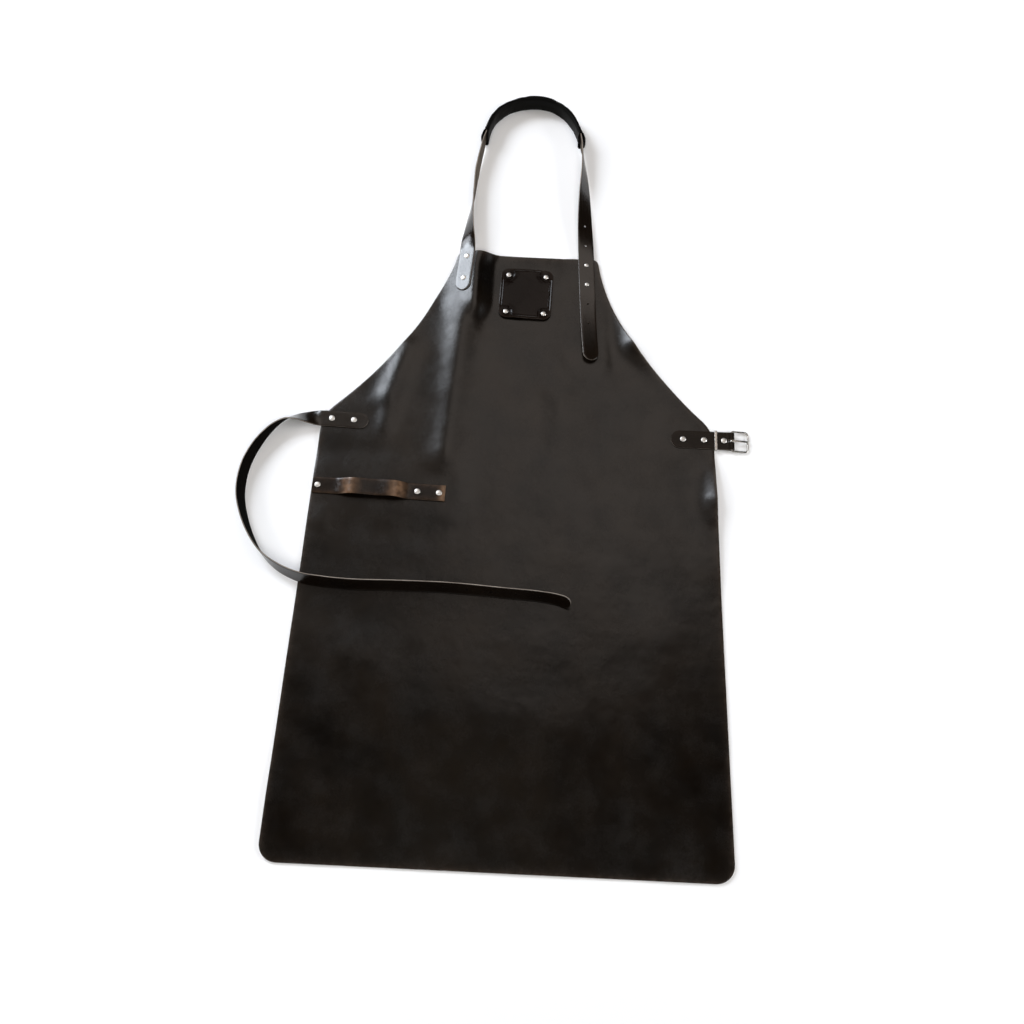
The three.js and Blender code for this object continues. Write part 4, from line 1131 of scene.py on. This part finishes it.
def tab_mesh():
    rings = []
    rub = []
    for x, z, half, turn in tab_path():
        section = strap_section(half, LEATHER, STRAP_CORNER)
        grain = Vector((math.sin(turn), 0, math.cos(turn)))
        rings.append([Vector((x, TAB_Y + across, z)) + grain * up for across, up, _ in section])
        rub += [math.exp((abs(across) - half) / EDGE_RUB) for across, _, _ in section]
    return loft("buckle_tab", rings, [face for _, _, face in section], rub, end_face=CUT_FACE)


def slot_mesh():
    corners = [(1, 1), (-1, 1), (-1, -1), (1, -1)]
    rings = []
    for x in (TAB_SLOT_X, TAB_SLOT_X + TAB_SLOT_LENGTH):
        rings.append([
            Vector((x, TAB_Y + across * TAB_SLOT_WIDTH / 2, BAR_Z + up * TAB_SLOT_HEIGHT / 2))
            for across, up in corners])
    return loft("slot", rings, [CUT_FACE] * len(corners), end_face=CUT_FACE)


tab_leather = bridle_leather("tab_leather", TAB_SHINE)
buckle_tab = leather_piece("buckle_tab", tab_mesh(), [tab_leather, strap_edge, strap_flesh], slot_mesh())
for x in TAB_RIVETS_X:
    face = TAB_UPPER_Z + LEATHER / 2
    rivets.append((Vector((x, TAB_Y, face)), UP, face - RIVET_ROOM, CAP_RADIUS))


# Keeper, buckle frame and prong
# Nickel-plated steel: a flat band that slides on the tab and holds the strap's tail, a wire frame bent to a
# rectangle, and a flat prong rolled round the heel bar that rests on the far bar.

KEEPER_X = 301.3 * MM
KEEPER_LENGTH = 4 * MM
KEEPER_WALL = 1.2 * MM
KEEPER_HALF_WIDE = 15.2 * MM
KEEPER_HALF_HIGH = 3.15 * MM
KEEPER_CORNER = 1.1 * MM
KEEPER_EDGE = 0.35 * MM
FRAME_REACH = 24.3 * MM
FRAME_HALF_WIDTH = 16 * MM
FRAME_HEEL_CORNER = 1.8 * MM
FRAME_FAR_CORNER = 5 * MM
FRAME_FLOOR_ROOM = 0.05 * MM
FRAME_TILT = math.asin((BAR_Z - WIRE_RADIUS - FRAME_FLOOR_ROOM) / FRAME_REACH)
BEND_STEPS = 10
WIRE_SIDES = 20
PRONG_WIDTH = 2.6 * MM
PRONG_EYE = 2.5 * MM
PRONG_SIDES = 18
PRONG_SQUARENESS = 0.6
PRONG_EYE_STEPS = 24
PRONG_EYE_END = math.radians(350)

# The pin from its tip to the eye, in millimetres: x, z and thickness
PRONG_PIN = [
    (25.7, 2.32, 0.5), (25.5, 2.36, 0.9), (24.9, 2.5, 1.25), (24.0, 2.7, 1.6), (21, 2.95, 1.8),
    (16, 3.15, 1.9), (10, 3.2, 1.9), (6, 3.02, 1.7), (3, 2.72, 1.5), (1.4, 2.55, 1.4),
]

NICKEL = (0.5, 0.48, 0.45)
NICKEL_DULL = (0.32, 0.305, 0.28)
NICKEL_GLOSS = 0.2
DULL_SPOT = 5 * MM
DULL_RANGE = (0.45, 0.75)
DULL_ROUGHNESS = 0.18
SCRATCH = 0.35 * MM
SCRATCH_ROUGHNESS = 0.08
SCRATCH_DEPTH = 0.012 * MM
METAL_SHARP = math.radians(40)


def nickel_plate(name, gloss, bright, dull):
    """Plated metal: fine scratches, and duller spots where it has been handled."""
    material, tree, surface = new_finish(name)
    place = object_place(tree)
    worn = mapped(tree, noise_field(tree, place, DULL_SPOT, 4), *DULL_RANGE)
    scratches = noise_field(tree, place, SCRATCH, 5, seed=2)
    tree.links.new(colour_mix(tree, worn, bright, dull), surface["Base Color"])
    surface["Metallic"].default_value = 1
    rough = math_node(tree, "MULTIPLY_ADD", worn, DULL_ROUGHNESS, gloss)
    rough = math_node(tree, "MULTIPLY_ADD", scratches, SCRATCH_ROUGHNESS, rough)
    tree.links.new(rough, surface["Roughness"])
    tree.links.new(bumped(tree, scratches, SCRATCH_DEPTH), surface["Normal"])
    return material


def nickel_piece(name, body, mesh):
    piece = bpy.data.objects.new(name, mesh)
    bpy.context.scene.collection.objects.link(piece)
    mesh.materials.append(nickel)
    mesh.shade_smooth()
    mesh.set_sharp_from_angle(angle=METAL_SHARP)
    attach(piece, body)
    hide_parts(name)


def bent_loop(corners):
    """A closed middle line with round corners: each point and the direction outwards there."""
    line = []
    for x, y, radius, start in corners:
        middle = (x - math.copysign(radius, math.cos(math.radians(start + 45))),
                  y - math.copysign(radius, math.sin(math.radians(start + 45))))
        for step in range(BEND_STEPS + 1):
            turn = math.radians(start + 90 * step / BEND_STEPS)
            outward = (math.cos(turn), math.sin(turn))
            line.append(([m + radius * o for m, o in zip(middle, outward)], outward))
    return line


def keeper_mesh():
    wide, high, corner = KEEPER_HALF_WIDE, KEEPER_HALF_HIGH, KEEPER_CORNER
    corners = [
        (wide, high, corner, 0), (-wide, high, corner, 90), (-wide, -high, corner, 180),
        (wide, -high, corner, 270)]
    section = strap_section(KEEPER_LENGTH / 2, KEEPER_WALL, KEEPER_EDGE)
    rings = []
    for (y, z), (out_y, out_z) in bent_loop(corners):
        middle = Vector((KEEPER_X, TAB_Y + y, BAR_Z + z))
        outward = Vector((0, out_y, out_z))
        rings.append([middle + Vector((-along, 0, 0)) + outward * out for along, out, _ in section])
    return loft("keeper", rings, [GRAIN_FACE] * len(section), closed=True)


def on_bar(x, y, z):
    """A point of the buckle, given from its heel bar as if it lay level."""
    return Matrix.Rotation(FRAME_TILT, 3, "Y") @ Vector((x, y, z)) + Vector((BAR_X, TAB_Y, BAR_Z))


def frame_mesh():
    far, heel = FRAME_FAR_CORNER, FRAME_HEEL_CORNER
    corners = [
        (FRAME_REACH, FRAME_HALF_WIDTH, far, 0), (0, FRAME_HALF_WIDTH, heel, 90),
        (0, -FRAME_HALF_WIDTH, heel, 180), (FRAME_REACH, -FRAME_HALF_WIDTH, far, 270)]
    rings = []
    for (x, y), (out_x, out_y) in bent_loop(corners):
        ring = []
        for side in range(WIRE_SIDES):
            turn = -2 * math.pi * side / WIRE_SIDES
            out = WIRE_RADIUS * math.cos(turn)
            ring.append(on_bar(x + out_x * out, y + out_y * out, WIRE_RADIUS * math.sin(turn)))
        rings.append(ring)
    return loft("buckle_frame", rings, [GRAIN_FACE] * WIRE_SIDES, closed=True)


def prong_mesh():
    path = [(x * MM, z * MM, thick * MM) for x, z, thick in PRONG_PIN]
    for step in range(PRONG_EYE_STEPS + 1):
        turn = mix(math.pi / 2, PRONG_EYE_END, step / PRONG_EYE_STEPS)
        path.append((PRONG_EYE * math.cos(turn), PRONG_EYE * math.sin(turn), PRONG_PIN[-1][2] * MM))
    rings = []
    for index, (x, z, thick) in enumerate(path):
        ahead = path[min(index + 1, len(path) - 1)]
        behind = path[max(index - 1, 0)]
        run = Vector((ahead[0] - behind[0], 0, ahead[1] - behind[1])).normalized()
        outward = Vector((-run.z, 0, run.x))
        ring = []
        for side in range(PRONG_SIDES):
            turn = 2 * math.pi * side / PRONG_SIDES
            across = rounded(math.cos(turn), PRONG_SQUARENESS) * PRONG_WIDTH / 2
            up = rounded(math.sin(turn), PRONG_SQUARENESS) * thick / 2
            place = Vector((x, -across, z)) - outward * up
            ring.append(on_bar(*place))
        rings.append(ring)
    return loft("prong", rings, [GRAIN_FACE] * PRONG_SIDES)


nickel = nickel_plate("nickel", NICKEL_GLOSS, NICKEL, NICKEL_DULL)
nickel_piece("keeper", "keeper", keeper_mesh())
nickel_piece("buckle_frame", "buckle", frame_mesh())
nickel_piece("prong", "prong", prong_mesh())


# Rivets
# Sixteen two-part rivets of nickel-plated steel. Each is a domed cap on the grain side, pressed on a post
# that goes through the leather to a flatter cap on the back.

FRONT_CAP = 1.7 * MM
BACK_CAP = 1.3 * MM
POST_RADIUS = 1.6 * MM
RIVET_SIDES = 28
RIVET_SHARP = math.radians(50)
RIVET_GLOSS = 0.36
RIVET_NICKEL = (0.72, 0.69, 0.65)
RIVET_DULL = (0.5, 0.475, 0.44)

# Caps and posts by share of their radius and height, from the leather outwards
FRONT_PROFILE = [
    (0.3, 0), (0.96, 0), (1, 0.1), (0.995, 0.24), (0.95, 0.45), (0.86, 0.63), (0.72, 0.79),
    (0.54, 0.91), (0.33, 0.98), (0.1, 1),
]
BACK_PROFILE = [
    (0.3, 0), (0.97, 0), (1, 0.2), (0.97, 0.5), (0.86, 0.8), (0.7, 0.93), (0.4, 0.86), (0.1, 0.84),
]
POST_PROFILE = [(1, -0.02), (1, 1.02)]


def turned_mesh(name, profile):
    """A body turned about the Z axis, for a cap or a post of size one."""
    rings = []
    for radius, height in profile:
        rings.append(circle(UP * height, Vector((1, 0, 0)), Vector((0, 1, 0)), radius, RIVET_SIDES))
    source = bpy.data.objects.new(name, loft(name, rings, [GRAIN_FACE] * RIVET_SIDES))
    source.data.shade_smooth()
    source.data.set_sharp_from_angle(angle=RIVET_SHARP)
    bpy.context.scene.collection.objects.link(source)
    return source


def rivet_points():
    """One point on the face of the leather for each rivet, with its axis, depth and cap radius."""
    mesh = bpy.data.meshes.new("rivets")
    mesh.from_pydata([face for face, _, _, _ in rivets], [], [])
    axes = [value for _, axis, _, _ in rivets for value in axis]
    mesh.attributes.new("axis", "FLOAT_VECTOR", "POINT").data.foreach_set("vector", axes)
    mesh.attributes.new("depth", "FLOAT", "POINT").data.foreach_set("value", [row[2] for row in rivets])
    mesh.attributes.new("cap", "FLOAT", "POINT").data.foreach_set("value", [row[3] for row in rivets])
    return mesh


def rivet_tree():
    """Sets a front cap, a post and a back cap at each point, along its axis."""
    needs = [("Points", "Geometry"), ("Front", "Object"), ("Back", "Object"), ("Post", "Object")]
    needs += [("Front Height", "Float"), ("Back Height", "Float"), ("Post Radius", "Float")]
    needs += [("Finish", "Material")]
    tree, given, result = node_group("Set rivets", needs, [("Rivets", "Geometry")])

    def noted(name, kind="FLOAT"):
        return add_node(tree, "GeometryNodeInputNamedAttribute", {"Name": name}, data_type=kind).outputs[0]

    def set_parts(points, source, direction, radius, height):
        part = add_node(tree, "GeometryNodeObjectInfo", {"Object": source}).outputs["Geometry"]
        turn = add_node(tree, "FunctionNodeAlignRotationToVector", {"Vector": direction}, axis="Z").outputs[0]
        size = add_node(tree, "ShaderNodeCombineXYZ", {0: radius, 1: radius, 2: height}).outputs[0]
        inputs = {"Points": points, "Instance": part, "Rotation": turn, "Scale": size}
        return add_node(tree, "GeometryNodeInstanceOnPoints", inputs).outputs[0]

    axis = noted("axis", "FLOAT_VECTOR")
    inward = vector_node(tree, "MULTIPLY", axis, (-1, -1, -1))
    through = add_node(
        tree, "ShaderNodeVectorMath", {0: inward, "Scale": noted("depth")}, operation="SCALE").outputs[0]
    moved = {"Geometry": given["Points"], "Offset": through}
    backs = add_node(tree, "GeometryNodeSetPosition", moved).outputs[0]
    parts = [
        set_parts(given["Points"], given["Front"], axis, noted("cap"), given["Front Height"]),
        set_parts(given["Points"], given["Post"], inward, given["Post Radius"], noted("depth")),
        set_parts(backs, given["Back"], inward, noted("cap"), given["Back Height"])]
    joined = tree.nodes.new("GeometryNodeJoinGeometry")
    for part in parts:
        tree.links.new(part, joined.inputs[0])
    whole = add_node(tree, "GeometryNodeRealizeInstances", {0: joined.outputs[0]})
    done = add_node(tree, "GeometryNodeSetMaterial", {0: whole.outputs[0], "Material": given["Finish"]})
    tree.links.new(done.outputs[0], result["Rivets"])
    return tree


rivet_parts = {
    "Front": turned_mesh("front_cap", FRONT_PROFILE), "Back": turned_mesh("back_cap", BACK_PROFILE),
    "Post": turned_mesh("post", POST_PROFILE)}
rivet_nickel = nickel_plate("rivet_nickel", RIVET_GLOSS, RIVET_NICKEL, RIVET_DULL)
all_rivets = grown("rivets", rivet_points(), rivet_tree(), {
    **rivet_parts, "Front Height": FRONT_CAP, "Back Height": BACK_CAP, "Post Radius": POST_RADIUS,
    "Finish": rivet_nickel})
for source in rivet_parts.values():
    bpy.data.objects.remove(source)
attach(all_rivets, "apron")
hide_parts(*[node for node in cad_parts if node.startswith("rivet_")])


# Floor, light and camera
# A plain pale floor under soft light: a cool window beyond the bib's left, low fills at both sides and over
# the hem, and dim warm ceilings that the leather mirrors. The camera stands over the hem and looks down.

FLOOR_SIZE = 40
FLOOR_DROP = 0.2 * MM
FLOOR_COLOUR = (0.97, 0.97, 0.97)
FLOOR_ROUGHNESS = 0.9
FLOOR_GRAIN = 0.6 * MM
FLOOR_GRAIN_DEPTH = 0.02 * MM
SKY_COLOUR = (0.93, 0.96, 1.0)
SKY_STRENGTH = 0.012

# Lights: name, place, aimed at, size across and up, turn about its aim in degrees, watts, colour
LIGHTS = [
    ("window_left", (-1.9, 1.75, 2.0), (-0.1, 0.1, 0), (1.0, 0.95), 0, 62, (0.86, 0.92, 1.0)),
    ("fill_right", (2.8, -0.2, 1.1), (0.2, 0, 0), (1.4, 1.2), 0, 58, (0.95, 0.97, 1.0)),
    ("window_low", (-2.35, 1.85, 1.1), (-0.1, 0.2, 0), (1.3, 0.95), 0, 32, (0.9, 0.93, 1.0)),
    ("fill_left", (-2.8, -0.5, 1.2), (-0.3, -0.3, 0), (1.4, 1.2), 0, 36, (0.97, 0.98, 1.0)),
    ("ceiling", (0.22, 1.28, 2.4), (0.22, 1.28, 0), (1.36, 2.1), 12, 11.6, (1.0, 0.89, 0.81)),
    ("ceiling_left", (-0.95, 1.15, 2.3), (-0.95, 1.15, 0), (0.8, 2.2), 0, 2.8, (1.0, 0.87, 0.76)),
    ("near_ceiling", (-0.2, -0.5, 2.4), (-0.2, -0.5, 0), (0.7, 0.8), 0, 0.42, (1.0, 0.82, 0.62)),
    ("near_fill", (0.3, -2.3, 3.1), (0, -0.2, 0), (2.4, 1.4), 0, 50, (1.0, 0.98, 0.95)),
]

# The camera's place and axes, which lay the apron in the picture as it lies in the photograph
CAMERA_PLACE = (22.594 * MM, -670.85 * MM, 1543.458 * MM)
CAMERA_RIGHT = (0.998909, 0.0466878, 0.000506)
CAMERA_UP = (-0.0443087, 0.94448, 0.325568)
CAMERA_BACK = (0.0147218, -0.325235, 0.945519)
CAMERA_LENS = 38.67
CAMERA_SENSOR = 36


def floor_finish():
    material, tree, surface = new_finish("floor")
    place = object_place(tree)
    grain = noise_field(tree, place, FLOOR_GRAIN, 2)
    surface["Base Color"].default_value = (*FLOOR_COLOUR, 1)
    surface["Roughness"].default_value = FLOOR_ROUGHNESS
    tree.links.new(bumped(tree, grain, FLOOR_GRAIN_DEPTH), surface["Normal"])
    return material


def add_floor():
    half = FLOOR_SIZE / 2
    corners = [(-half, -half), (half, -half), (half, half), (-half, half)]
    mesh = bpy.data.meshes.new("floor")
    mesh.from_pydata([(x, y, -FLOOR_DROP) for x, y in corners], [], [(0, 1, 2, 3)])
    mesh.materials.append(floor_finish())
    floor = bpy.data.objects.new("floor", mesh)
    bpy.context.scene.collection.objects.link(floor)


def add_light(name, place, target, size, turn, watts, colour):
    lamp = bpy.data.lights.new(name, "AREA")
    lamp.shape = "RECTANGLE"
    lamp.size, lamp.size_y = size
    lamp.energy = watts
    lamp.color = colour
    light = bpy.data.objects.new(name, lamp)
    light.location = place
    aim = (Vector(target) - Vector(place)).to_track_quat("-Z", "Y").to_matrix()
    light.rotation_euler = (aim @ Matrix.Rotation(math.radians(turn), 3, "Z")).to_euler()
    bpy.context.scene.collection.objects.link(light)


def add_camera():
    lens = bpy.data.cameras.new("camera")
    lens.lens = CAMERA_LENS
    lens.sensor_width = CAMERA_SENSOR
    camera = bpy.data.objects.new("camera", lens)
    axes = Matrix((CAMERA_RIGHT, CAMERA_UP, CAMERA_BACK)).transposed().to_4x4()
    camera.matrix_world = Matrix.Translation(CAMERA_PLACE) @ axes
    bpy.context.scene.collection.objects.link(camera)
    bpy.context.scene.camera = camera


add_floor()
for light_row in LIGHTS:
    add_light(*light_row)
add_camera()
world = bpy.data.worlds.new("sky")
world.use_nodes = True
sky = world.node_tree.nodes["Background"].inputs
sky["Color"].default_value = (*SKY_COLOUR, 1)
sky["Strength"].default_value = SKY_STRENGTH
bpy.context.scene.world = world
bpy.context.scene.view_settings.view_transform = "Standard"
